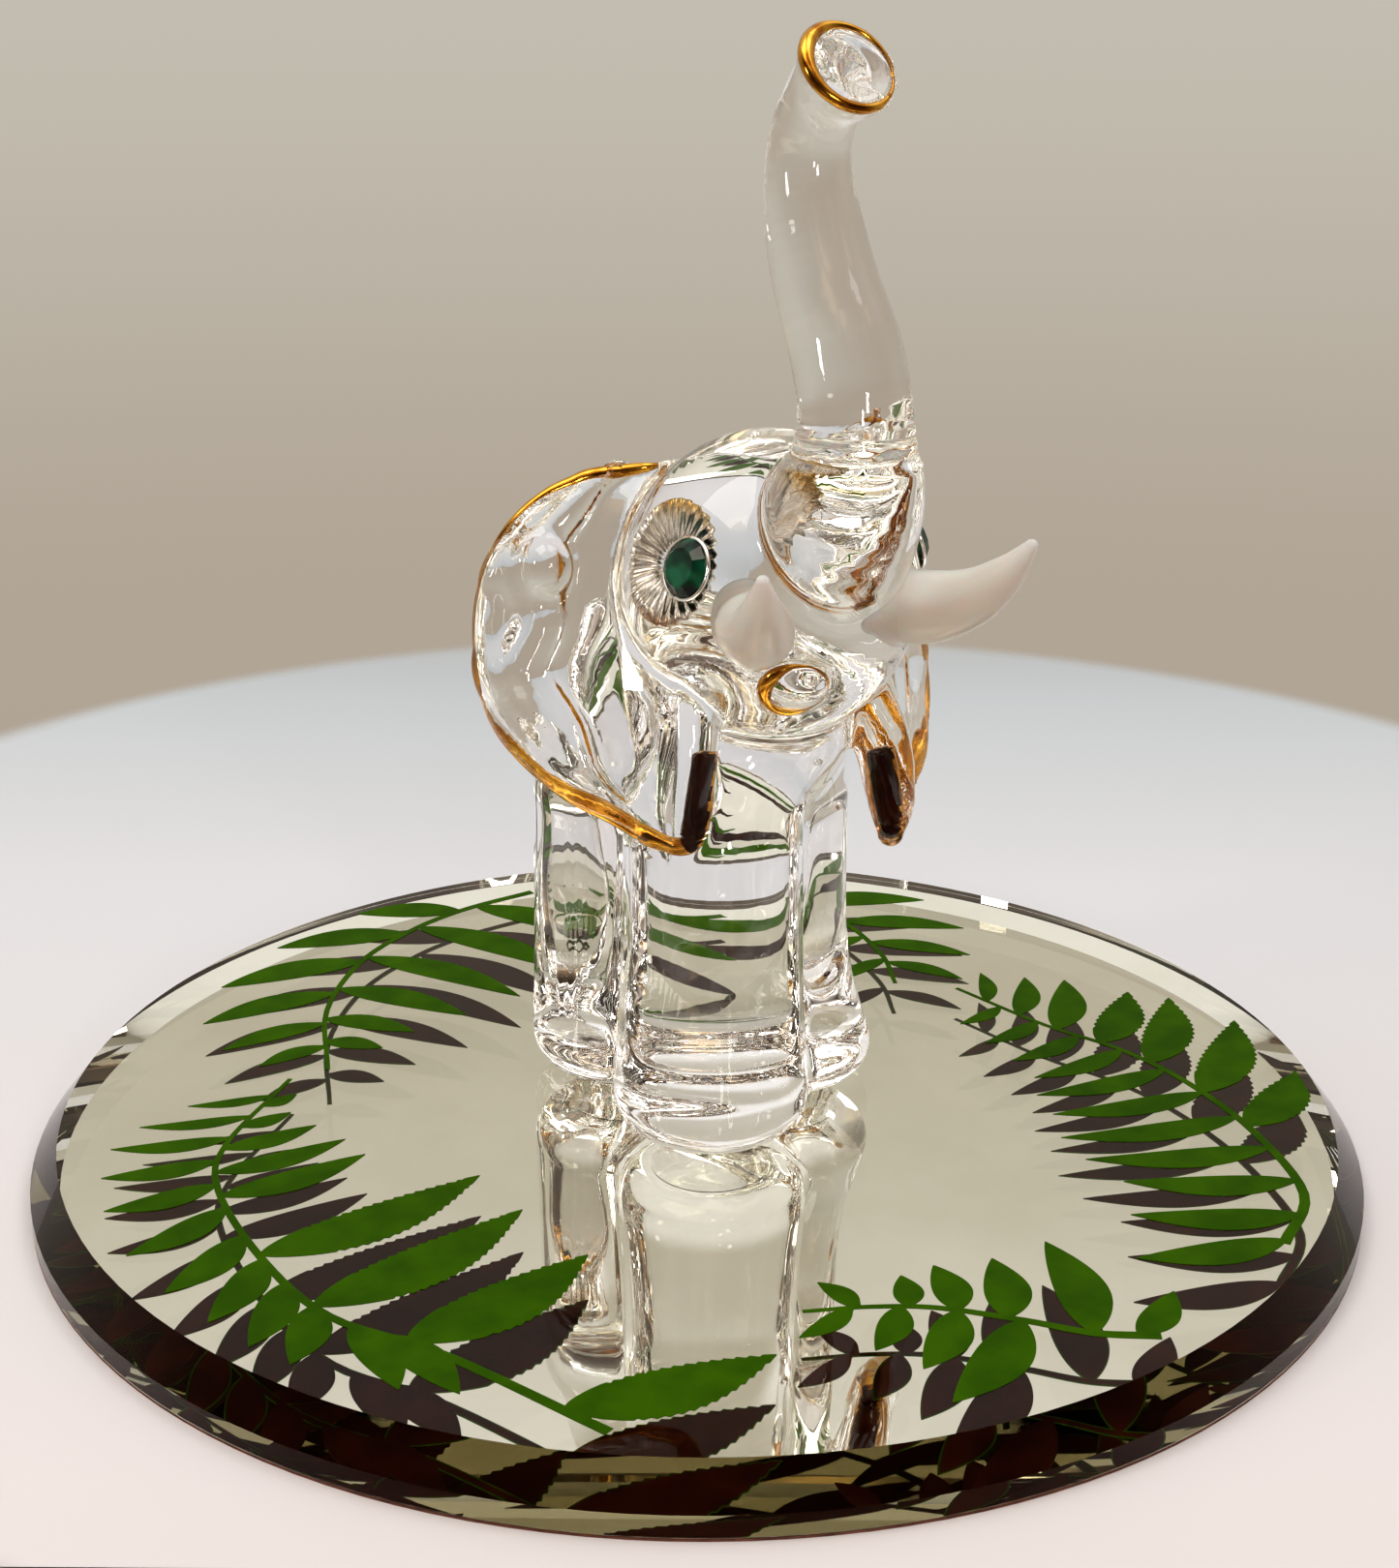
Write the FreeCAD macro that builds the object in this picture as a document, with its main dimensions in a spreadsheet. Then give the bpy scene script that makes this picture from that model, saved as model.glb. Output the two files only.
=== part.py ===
"""Crystal glass elephant on a round bevelled mirror, as a FreeCAD document in millimetres.

The origin is the centre of the mirror's underside, +Z is up and the elephant faces -Y, so its own
right side is on -X.  Every glass piece of the elephant is drawn in the elephant's frame (X = 0 is
its plane of symmetry, Z = 0 is under its feet) and its Placement then stands it on the mirror.
"""
import FreeCAD, Part
import os
from math import atan2, cos, degrees, hypot, radians, sin
import Sketcher

os.makedirs("parts", exist_ok=True)
doc = FreeCAD.newDocument("crystal_elephant")
sheet = doc.addObject("Spreadsheet::Sheet", "sizes")
Vector = FreeCAD.Vector
Rotation = FreeCAD.Rotation

# ---------------------------------------------------------------- driving dimensions (mm, degrees)
SIZES = {
    # mirror base, from the table up
    "mirror_radius": 38.1,
    "paint_thick": 0.10,
    "silver_thick": 0.05,
    "glass_thick": 3.10,
    "bevel_width": 1.55,
    "bevel_drop": 1.90,
    "glue_thick": 0.08,
    "glue_radius": 3.4,
    "print_radius": 35.9,
    "print_thick": 0.05,
    "stem_width": 0.5,
    # where the elephant stands on the mirror
    "elephant_x": 1.8,
    # body masses: half sizes and centres
    "torso_rx": 7.5,
    "torso_ry": 10.8,
    "torso_rz": 6.6,
    "torso_y": 3.2,
    "torso_z": 22.6,
    "head_rx": 8.0,
    "head_ry": 8.1,
    "head_rz": 8.3,
    "head_y": -4.3,
    "head_z": 31.0,
    "trunk_seam_z": 39.3,
    # legs
    "leg_height": 21.5,
    "leg_gap": 0.3,
    "foot_height": 2.4,
    "ankle_height": 7.5,
    "foot_round": 1.7,
    "left_ear_drop": 1.5,
    # mouth
    "lip_rx": 1.75,
    "lip_ry": 1.75,
    "lip_rz": 1.4,
    "lip_x": -2.2,
    "lip_y": -10.3,
    "lip_z": 27.5,
    "mouth_ring": 1.7,
    "mouth_reach": 7.95,
    "mouth_line": 0.25,
    # eyes: a faceted stone set in the surface, and a foil dish in the glass behind it
    "eye_azimuth": 66.0,
    "eye_elevation": 17.0,
    "foil_turn": 14.0,
    "foil_floor": 6.25,
    "foil_floor_radius": 1.1,
    "foil_rim_radius": 3.1,
    "foil_depth": 0.8,
    "foil_thick": 0.12,
    "stone_turn": 14.0,
    "stone_seat": 7.85,
    "stone_radius": 1.5,
    "stone_table": 1.02,
    "stone_culet": 0.12,
    "stone_crown": 0.43,
    "stone_girdle": 0.25,
    "stone_depth": 1.05,
    "stone_sides": 12,
    "tail_tip_radius": 0.85,
    "tail_tip_half": 1.3,
    # gold paint
    "gold_thick": 0.15,
    "tip_gold_length": 0.7,
    "tip_gold_lap": 0.6,
}

# station rows: hand-drawn centre lines; each row becomes cells of the sheet
TRUNK = [  # y, z, radius: S-curve, leaning back above the brow, flaring at the tip
    (-8.8, 30.6, 2.50),
    (-10.8, 33.4, 3.50),
    (-11.7, 36.6, 3.60),
    (-12.1, 39.4, 3.06),
    (-11.9, 42.0, 2.85),
    (-10.9, 44.5, 2.80),
    (-9.3, 47.0, 2.65),
    (-8.0, 49.6, 2.50),
    (-7.3, 52.0, 2.25),
    (-7.4, 54.2, 2.05),
    (-8.5, 56.1, 2.00),
    (-9.9, 57.1, 2.20),
    (-10.8, 57.7, 2.60),
]
TAIL = [  # y, z, radius: hangs down behind the rump
    (12.6, 25.2, 1.15),
    (14.9, 24.6, 1.00),
    (16.3, 22.4, 0.85),
    (16.7, 19.6, 0.75),
    (16.5, 17.2, 0.65),
]
TUSK = [  # outward x, y, z, radius: splayed forward and curling up
    (4.2, -9.4, 30.6, 1.95),
    (5.3, -11.7, 30.8, 1.90),
    (6.4, -13.8, 31.7, 1.50),
    (7.3, -15.4, 33.2, 0.95),
    (7.9, -16.4, 34.7, 0.35),
]
EAR = [  # z, inner edge x, y, outer edge x, y, half thickness, rim gold radius, lobe gold radius
    (17.9, 6.7, -6.7, 7.0, -6.1, 0.50, 0.50, 0.55),
    (19.1, 6.7, -6.7, 8.6, -4.3, 0.80, 0.60, 0.75),
    (20.6, 6.6, -6.6, 10.8, -2.2, 1.00, 0.50, 0.75),
    (23.3, 6.2, -6.3, 12.8, 0.4, 1.15, 0.40, 0.65),
    (26.5, 5.6, -5.2, 13.2, 2.0, 1.20, 0.35, 0.0),
    (30.0, 5.2, -3.4, 12.7, 2.9, 1.20, 0.32, 0.0),
    (33.2, 4.8, -1.9, 11.4, 2.9, 1.10, 0.32, 0.0),
    (35.4, 4.2, -0.8, 9.2, 2.6, 0.90, 0.32, 0.0),
    (36.6, 3.7, 0.2, 6.2, 1.9, 0.50, 0.32, 0.0),
]
LEGS = {  # centre x, y, then foot, ankle and top radius; the right fore leg is a step ahead
    "front_right_leg": (-3.6, -4.6, 5.6, 5.2, 4.9),
    "front_left_leg": (3.7, -0.3, 5.6, 3.7, 3.6),
    "rear_right_leg": (-3.9, 5.2, 5.5, 5.3, 5.2),
    "rear_left_leg": (3.8, 9.2, 5.4, 4.9, 4.8),
}

# fern sprigs: the stem runs from its cut end to its tip; a leaflet is
# (place along the stem 0..1, tip x, tip y, widest width)
FERNS = {
    "fern_print_front_right": {
        "stem": [(-20.7, -28.1), (-24.6, -18.8), (-28.1, -13.0), (-29.1, -6.3), (-28.7, 1.7),
                 (-26.6, 6.5), (-20.6, 12.5)],
        "leaflets": [
            (0.06, -10.9, -26.5, 4.2), (0.27, -14.5, -14.0, 4.4), (0.40, -15.4, -8.2, 4.2),
            (0.53, -15.8, -3.7, 4.0), (0.68, -20.3, 1.6, 2.4), (0.74, -20.6, 3.8, 2.0),
            (0.80, -21.4, 6.2, 1.8), (0.86, -22.1, 8.4, 1.4), (0.92, -21.0, 10.4, 1.2),
            (0.30, -25.3, -22.1, 2.4), (0.34, -27.6, -20.4, 2.4), (0.40, -31.2, -16.0, 2.4),
            (0.46, -32.4, -13.6, 2.4), (0.52, -33.4, -10.6, 2.4), (0.58, -34.4, -7.0, 2.4),
            (0.65, -35.0, -2.6, 2.2), (0.71, -34.7, 2.4, 2.0), (0.77, -33.8, 6.0, 1.8),
            (0.83, -32.4, 9.0, 1.6), (0.89, -30.2, 10.8, 1.3), (0.95, -27.0, 12.0, 1.1),
        ],
    },
    "fern_print_front": {
        "stem": [(6.1, -34.2), (3.4, -32.4), (1.2, -29.9), (-1.8, -26.9), (-4.6, -25.2), (-7.8, -23.9)],
        "leaflets": [
            (0.18, 6.7, -24.4, 3.0), (0.42, 3.3, -24.4, 2.6), (0.56, 0.3, -23.5, 2.2),
            (0.70, -1.7, -23.5, 1.7), (0.84, -5.7, -22.0, 1.4),
            (0.38, -5.9, -33.8, 3.0), (0.56, -5.5, -30.9, 2.4), (0.72, -6.6, -28.5, 1.9),
            (0.86, -9.2, -25.8, 1.4), (0.06, 9.3, -31.4, 2.0),
        ],
    },
    "fern_print_front_left": {
        "stem": [(17.4, -30.6), (22.0, -27.2), (24.6, -20.5), (25.5, -14.0), (25.0, -8.5),
                 (23.1, -3.2), (21.6, 4.0)],
        "leaflets": [
            (0.93, 24.4, 5.2, 1.3), (0.86, 26.5, 3.2, 1.9), (0.78, 28.5, 1.6, 2.6),
            (0.70, 30.9, -1.9, 3.2), (0.60, 32.6, -3.9, 3.4), (0.48, 33.9, -8.6, 3.6),
            (0.36, 32.6, -15.8, 3.4),
            (0.90, 18.6, -0.6, 1.2), (0.82, 18.3, -3.6, 1.5), (0.74, 18.3, -6.4, 1.7),
            (0.66, 18.0, -8.9, 1.8), (0.57, 16.7, -10.8, 2.0), (0.48, 16.0, -13.2, 2.1),
            (0.39, 14.6, -15.7, 2.2), (0.29, 14.2, -18.4, 2.3), (0.19, 14.4, -21.4, 2.4),
            (0.09, 12.4, -24.4, 2.4), (0.01, 9.8, -28.0, 2.4),
        ],
    },
    "fern_print_rear_right": {
        "stem": [(5.0, 32.5), (-0.6, 31.8), (-5.5, 30.0), (-10.5, 26.6), (-15.2, 20.5), (-18.2, 12.6)],
        "leaflets": [
            (0.88, -14.2, 13.8, 1.8), (0.78, -11.6, 15.0, 2.2), (0.64, -7.8, 15.6, 2.6),
            (0.48, -3.6, 16.6, 2.8), (0.30, 0.8, 19.0, 3.0), (0.14, 5.6, 22.4, 3.0),
            (0.90, -21.6, 15.0, 1.6), (0.80, -22.8, 18.2, 2.0), (0.66, -22.6, 22.4, 2.6),
            (0.50, -19.8, 27.2, 3.0), (0.34, -14.4, 31.6, 3.0), (0.18, -7.4, 34.6, 2.8),
        ],
    },
    "fern_print_rear_left": {
        "stem": [(16.0, 29.6), (19.6, 24.6), (21.4, 18.4), (20.6, 11.4), (18.6, 6.6)],
        "leaflets": [
            (0.86, 22.8, 5.0, 1.6), (0.72, 25.6, 8.0, 2.0), (0.56, 28.0, 12.0, 2.4),
            (0.38, 28.6, 17.6, 2.8), (0.18, 25.0, 24.6, 2.8),
            (0.84, 16.2, 8.8, 1.4), (0.68, 14.6, 12.6, 1.8), (0.50, 13.6, 17.4, 2.2),
            (0.32, 12.0, 22.8, 2.4), (0.14, 9.6, 28.4, 2.4),
        ],
    },
}


def cell(name, value):
    """Writes one named size into the next row of the sheet."""
    cell.row += 1
    sheet.set(f"A{cell.row}", name)
    sheet.set(f"B{cell.row}", str(value))
    sheet.setAlias(f"B{cell.row}", name)


cell.row = 0


def cells(prefix, names, rows):
    """Writes a list of stations into the sheet as prefix_name_number."""
    for number, row in enumerate(rows):
        for name, value in zip(names, row):
            cell(f"{prefix}_{name}_{number}", value)


for size_name, size_value in SIZES.items():
    cell(size_name, size_value)
cells("trunk", ("posy", "posz", "radius"), TRUNK)
cells("tail", ("posy", "posz", "radius"), TAIL)
cells("tusk", ("posx", "posy", "posz", "radius"), TUSK)
cells("ear", ("posz", "inx", "iny", "outx", "outy", "half", "rim", "lobe"), EAR)
for leg_name, leg_row in LEGS.items():
    cells(leg_name, ("posx", "posy", "foot", "ankle", "top"), [leg_row])
cell("silver_z", "=paint_thick")
cell("glass_z", "=paint_thick + silver_thick")
cell("top_z", "=glass_z + glass_thick")
cell("seat_z", "=top_z + glue_thick")
doc.recompute()


def size(name):
    return float(sheet.get(name))


# ---------------------------------------------------------------- helpers
def bind(thing, **links):
    """Binds properties to cells: Radius="head_rx" reads sizes.head_rx; a double underscore is a dot."""
    for name, source in links.items():
        thing.setExpression(name.replace("__", "."), "sizes." + source)
    return thing


def add(kind, name, **links):
    return bind(doc.addObject(kind, name), **links)


def place(thing, x, y, z, rotation=None):
    thing.Placement = FreeCAD.Placement(Vector(x, y, z), rotation or Rotation())
    return thing


NODES = []


def node(thing, label, on_mirror=False):
    """Names a finished sub-part, and stands a piece of the elephant on the mirror."""
    thing.Label = label
    if on_mirror:
        bind(thing, Placement__Base__x="elephant_x", Placement__Base__z="seat_z")
    NODES.append(thing)
    return thing


def cut(name, base, tools):
    if len(tools) > 1:
        tool = doc.addObject("Part::MultiFuse", name + "_tools")
        tool.Shapes = tools
    else:
        tool = tools[0]
    result = doc.addObject("Part::Cut", name)
    result.Base = base
    result.Tool = tool
    return result


def fuse(name, shapes):
    result = doc.addObject("Part::MultiFuse", name)
    result.Shapes = shapes
    return result


def along(direction):
    """The rotation that turns +Z to the given direction."""
    return Rotation(Vector(0, 0, 1), direction)


def loft(name, sections, ruled=False):
    solid = doc.addObject("Part::Loft", name)
    solid.Sections = sections
    solid.Solid = True
    solid.Ruled = ruled
    return solid


def tube(name, prefix, count, side=0):
    """A round tube through stations; side is 0 in the plane X = 0, or -1 / +1 for a pair."""
    points = []
    for k in range(count):
        x = side * size(f"{prefix}_posx_{k}") if side else 0.0
        points.append(Vector(x, size(f"{prefix}_posy_{k}"), size(f"{prefix}_posz_{k}")))
    sections = []
    for k, point in enumerate(points):
        ahead = points[min(k + 1, count - 1)] - points[max(k - 1, 0)]
        ring = add("Part::Circle", f"{name}_ring_{k}", Radius=f"{prefix}_radius_{k}")
        place(ring, point.x, point.y, point.z, along(ahead))
        if side:
            ring.setExpression("Placement.Base.x", f"{side} * sizes.{prefix}_posx_{k}")
        bind(ring, Placement__Base__y=f"{prefix}_posy_{k}", Placement__Base__z=f"{prefix}_posz_{k}")
        sections.append(ring)
    return loft(name, sections)


def ellipsoid(name, rx, ry, rz, y, z):
    thing = add("Part::Ellipsoid", name, Radius1=rz, Radius2=rx, Radius3=ry)
    return bind(thing, Placement__Base__y=y, Placement__Base__z=z)


def body_sketch(body, name, plane_role):
    sketch = body.newObject("Sketcher::SketchObject", name)
    plane = [f for f in body.Origin.OriginFeatures if f.Role == plane_role][0]
    sketch.AttachmentSupport = [(plane, "")]
    sketch.MapMode = "FlatFace"
    return sketch


# ---------------------------------------------------------------- mirror base
def disc(label, thick, height=None):
    plate = add("Part::Cylinder", label, Radius="mirror_radius", Height=thick)
    if height:
        bind(plate, Placement__Base__z=height)
    return node(plate, label)


def mirror_glass():
    """A round plate whose top edge is ground to a bevel."""
    body = doc.addObject("PartDesign::Body", "mirror_glass")
    sketch = body_sketch(body, "mirror_outline", "XY_Plane")
    sketch.addGeometry(Part.Circle(Vector(), Vector(0, 0, 1), size("mirror_radius")))
    sketch.addConstraint(Sketcher.Constraint("Coincident", 0, 3, -1, 1))
    rim = sketch.addConstraint(Sketcher.Constraint("Radius", 0, size("mirror_radius")))
    sketch.setExpression(f"Constraints[{rim}]", "sizes.mirror_radius")
    pad = body.newObject("PartDesign::Pad", "mirror_pad")
    pad.Profile = sketch
    bind(pad, Length="glass_thick")
    doc.recompute()
    top = [f"Edge{n}" for n, edge in enumerate(pad.Shape.Edges, 1)
           if len(edge.Vertexes) == 1 and edge.BoundBox.ZMin > size("glass_thick") / 2]
    bevel = body.newObject("PartDesign::Chamfer", "mirror_bevel")
    bevel.Base = (pad, top)
    bevel.ChamferType = "Two distances"
    bind(bevel, Size="bevel_drop", Size2="bevel_width")
    doc.recompute()
    if body.Shape.BoundBox.ZMax - size("glass_thick") > 0.001:
        raise RuntimeError("the bevel raised the mirror")
    crest = max(f.BoundBox.XMax for f in body.Shape.Faces if f.BoundBox.ZMin > size("glass_thick") - 0.01)
    if abs(crest - (size("mirror_radius") - size("bevel_width"))) > 0.01:
        bevel.FlipDirection = True
        doc.recompute()
    bind(body, Placement__Base__z="glass_z")
    return node(body, "mirror_glass")


def leaf_face(root, tip, width):
    """A leaflet is two arcs that meet in a point at each end."""
    middle = (root + tip) * 0.5
    across = (tip - root).cross(Vector(0, 0, 1))
    across.normalize()
    left = Part.Arc(root, middle + across * (width / 2), tip)
    right = Part.Arc(tip, middle - across * (width / 2), root)
    return Part.Face(Part.Wire([left.toShape(), right.toShape()]))


def strip_face(start, end, width):
    across = (end - start).cross(Vector(0, 0, 1))
    across.normalize()
    side = across * (width / 2)
    corners = [start + side, end + side, end - side, start - side, start + side]
    return Part.Face(Part.makePolygon(corners))


def along_stem(stem, place_on_stem):
    """The point at a fraction of the stem's whole length."""
    runs = [(b - a).Length for a, b in zip(stem, stem[1:])]
    left = place_on_stem * sum(runs)
    for a, b, run in zip(stem, stem[1:], runs):
        if left <= run:
            return a + (b - a) * (left / run)
        left -= run
    return stem[-1]


def fern_print(label, fern):
    """One printed sprig: a thin flat film on the mirror's top face, trimmed at the print's edge."""
    stem = [Vector(x, y, 0) for x, y in fern["stem"]]
    faces = [strip_face(a, b, size("stem_width")) for a, b in zip(stem, stem[1:])]
    faces += [leaf_face(along_stem(stem, place_on_stem), Vector(x, y, 0), width)
              for place_on_stem, x, y, width in fern["leaflets"]]
    film = [face.extrude(Vector(0, 0, size("print_thick"))) for face in faces]
    sprig = film[0].multiFuse(film[1:])
    sprig = sprig.common(Part.makeCylinder(size("print_radius"), size("print_thick")))
    feature = doc.addObject("Part::Feature", label)
    feature.Shape = sprig.removeSplitter()
    bind(feature, Placement__Base__z="top_z")
    return node(feature, label)


# ---------------------------------------------------------------- elephant
def rims(feature, height):
    """The names of a turned piece's circular edges at a height."""
    return [f"Edge{number}" for number, edge in enumerate(feature.Shape.Edges, 1)
            if abs(edge.BoundBox.ZMin - height) < 0.001 and abs(edge.BoundBox.ZMax - height) < 0.001
            and hasattr(edge.Curve, "Radius")]


def leg(label):
    """A stout round leg: a column with a flared, rounded foot and a domed top."""
    body = doc.addObject("PartDesign::Body", label + "_column")
    sketch = body_sketch(body, label + "_profile", "XZ_Plane")
    foot, ankle, top = (size(f"{label}_{name}_0") for name in ("foot", "ankle", "top"))
    tall, sole_z, ankle_z = size("leg_height"), size("foot_height"), size("ankle_height")
    corners = [Vector(0, 0, 0), Vector(foot, 0, 0), Vector(foot, sole_z, 0), Vector(ankle, ankle_z, 0),
               Vector(top, tall, 0), Vector(0, tall, 0)]
    for a, b in zip(corners, corners[1:] + corners[:1]):
        sketch.addGeometry(Part.LineSegment(a, b))
    last = len(corners) - 1
    for n in range(len(corners)):
        sketch.addConstraint(Sketcher.Constraint("Coincident", n, 2, (n + 1) % len(corners), 1))
    sketch.addConstraint(Sketcher.Constraint("Coincident", 0, 1, -1, 1))
    for n, kind in ((0, "Horizontal"), (1, "Vertical"), (4, "Horizontal"), (last, "Vertical")):
        sketch.addConstraint(Sketcher.Constraint(kind, n))
    links = ((Sketcher.Constraint("Distance", 0, foot), f"{label}_foot_0"),
             (Sketcher.Constraint("Distance", 1, sole_z), "foot_height"),
             (Sketcher.Constraint("DistanceX", -1, 1, 2, 2, ankle), f"{label}_ankle_0"),
             (Sketcher.Constraint("DistanceY", -1, 1, 2, 2, ankle_z), "ankle_height"),
             (Sketcher.Constraint("Distance", 4, top), f"{label}_top_0"),
             (Sketcher.Constraint("Distance", last, tall), "leg_height"))
    for constraint, source in links:
        sketch.setExpression(f"Constraints[{sketch.addConstraint(constraint)}]", "sizes." + source)
    turn = body.newObject("PartDesign::Revolution", label + "_turned")
    turn.Profile = sketch
    turn.ReferenceAxis = (sketch, ["V_Axis"])
    turn.Angle = 360
    doc.recompute()
    sole = body.newObject("PartDesign::Fillet", label + "_sole")
    sole.Base = (turn, rims(turn, 0.0))
    bind(sole, Radius="foot_round")
    doc.recompute()
    dome = body.newObject("PartDesign::Fillet", label + "_dome")
    dome.Base = (sole, rims(sole, tall))
    dome.setExpression("Radius", f"sizes.{label}_top_0 * 0.9")
    bind(body, Placement__Base__x=f"{label}_posx_0", Placement__Base__y=f"{label}_posy_0")
    return body


def clear_box(name, x_low, x_high, y_low, y_high):
    """A block that keeps a leg's neighbours clear of it."""
    box = doc.addObject("Part::Box", name)
    box.Length, box.Width, box.Height = x_high - x_low, y_high - y_low, size("leg_height") * 2
    return place(box, x_low, y_low, -size("leg_height") / 2)


def legs(torso_blank, head_blank):
    """Each leg keeps to its own quarter, half a gap from the legs beside it."""
    reach = 40.0
    half_gap = size("leg_gap") / 2
    for label in LEGS:
        side = -1 if "right" in label else 1
        hand = "right" if side < 0 else "left"
        split = (size(f"front_{hand}_leg_posy_0") + size(f"rear_{hand}_leg_posy_0")) / 2
        across = clear_box(label + "_across", *sorted((-side * reach, side * half_gap)), -reach, reach)
        if label.startswith("front"):
            behind = clear_box(label + "_behind", -reach, reach, split - half_gap, split + reach)
        else:
            behind = clear_box(label + "_behind", -reach, reach, split - reach, split + half_gap)
        piece = cut(label, leg(label), [torso_blank, head_blank, across, behind])
        node(piece, label, on_mirror=True)


def foot_adhesive():
    """A thin round film of clear glue under each foot."""
    films = []
    for label in LEGS:
        film = add("Part::Cylinder", label + "_glue", Radius="glue_radius", Height="glue_thick")
        bind(film, Placement__Base__x=f"{label}_posx_0", Placement__Base__y=f"{label}_posy_0")
        film.setExpression("Placement.Base.z", "-sizes.glue_thick")
        films.append(film)
    group = doc.addObject("Part::Compound", "foot_adhesive")
    group.Links = films
    return node(group, "foot_adhesive", on_mirror=True)


def eye_axis(side, turn=0.0):
    """Out of the head through the eye; a turn leans it back towards the ear."""
    azimuth, elevation = radians(size("eye_azimuth") + turn), radians(size("eye_elevation"))
    return Vector(side * sin(azimuth) * cos(elevation), -cos(azimuth) * cos(elevation), sin(elevation))


def head_centre():
    return Vector(0, size("head_y"), size("head_z"))


def foil_cone(name, side, depth):
    """The cone whose two places, one foil thickness apart, bound the foil dish."""
    cone = add("Part::Cone", name, Radius1="foil_floor_radius", Radius2="foil_rim_radius",
               Height="foil_depth")
    axis = eye_axis(side, size("foil_turn"))
    spot = head_centre() + axis * depth
    return place(cone, spot.x, spot.y, spot.z, along(axis))


def polygon(name, side, radius_source, lift):
    """One level of the faceted stone, lifted along the stone's axis from its girdle."""
    ring = add("Part::RegularPolygon", name, Circumradius=radius_source)
    ring.Polygon = int(size("stone_sides"))
    axis = eye_axis(side, size("stone_turn"))
    spot = head_centre() + eye_axis(side) * size("stone_seat") + axis * lift
    return place(ring, spot.x, spot.y, spot.z, along(axis))


def eye(side, hand):
    """Makes the foil dish and the faceted stone, and returns both to be cut from the head."""
    dish = foil_cone(hand + "_foil_back", side, size("foil_floor"))
    hollow = foil_cone(hand + "_foil_front", side, size("foil_floor") + size("foil_thick"))
    foil = node(cut(hand + "_eye_foil", dish, [hollow]), hand + "_eye_foil", on_mirror=True)

    half_girdle = size("stone_girdle") / 2
    levels = (("culet", "stone_culet", -half_girdle - size("stone_depth")),
              ("girdle", "stone_radius", -half_girdle),
              ("shoulder", "stone_radius", half_girdle),
              ("table", "stone_table", half_girdle + size("stone_crown")))
    rings = [polygon(f"{hand}_stone_{name}", side, source, lift) for name, source, lift in levels]
    stone = node(loft(hand + "_eye_stone", rings, ruled=True), hand + "_eye_stone", on_mirror=True)
    return [foil, stone]


def ear_height(k, side):
    """The height of an ear's station: the left ear hangs a little lower towards its lobe."""
    level = size(f"ear_posz_{k}")
    crown = size(f"ear_posz_{len(EAR) - 1}")
    share = (crown - level) / (crown - size("ear_posz_0"))
    return level - (size("left_ear_drop") * share if side > 0 else 0.0)


def ear_blank(side, hand):
    """A pressed glass ear: flat ellipses stacked from the hanging lobe to the crown."""
    sections = []
    for k in range(len(EAR)):
        inner_x, inner_y = size(f"ear_inx_{k}"), size(f"ear_iny_{k}")
        outer_x, outer_y = size(f"ear_outx_{k}"), size(f"ear_outy_{k}")
        oval = doc.addObject("Part::Ellipse", f"{hand}_ear_oval_{k}")
        oval.MajorRadius = max(hypot(outer_x - inner_x, outer_y - inner_y) / 2, size(f"ear_half_{k}") + 0.01)
        oval.MinorRadius = size(f"ear_half_{k}")
        turn = degrees(atan2(outer_y - inner_y, side * (outer_x - inner_x)))
        turn = turn if side > 0 else turn - 180
        place(oval, side * (inner_x + outer_x) / 2, (inner_y + outer_y) / 2, ear_height(k, side),
              Rotation(Vector(0, 0, 1), turn))
        sections.append(oval)
    return loft(hand + "_ear_blank", sections)


def ear_edge(side, hand, edge, radius_name, count):
    """A thread of gold along one edge of the ear."""
    rings = []
    for k in range(count):
        ring = add("Part::Circle", f"{hand}_ear_{radius_name}_{k}", Radius=f"ear_{radius_name}_{k}")
        place(ring, side * size(f"ear_{edge}x_{k}"), size(f"ear_{edge}y_{k}"), ear_height(k, side))
        rings.append(ring)
    return loft(f"{hand}_ear_{radius_name}_thread", rings)


def mouth_ring():
    """The gold line painted round the mouth, where the lower lip meets the head."""
    ring = add("Part::Torus", "mouth_line_ring", Radius1="mouth_ring", Radius2="mouth_line")
    out = Vector(size("lip_x"), size("lip_y"), size("lip_z")) - head_centre()
    out.normalize()
    spot = head_centre() + out * size("mouth_reach")
    return place(ring, spot.x, spot.y, spot.z, along(out))


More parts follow.
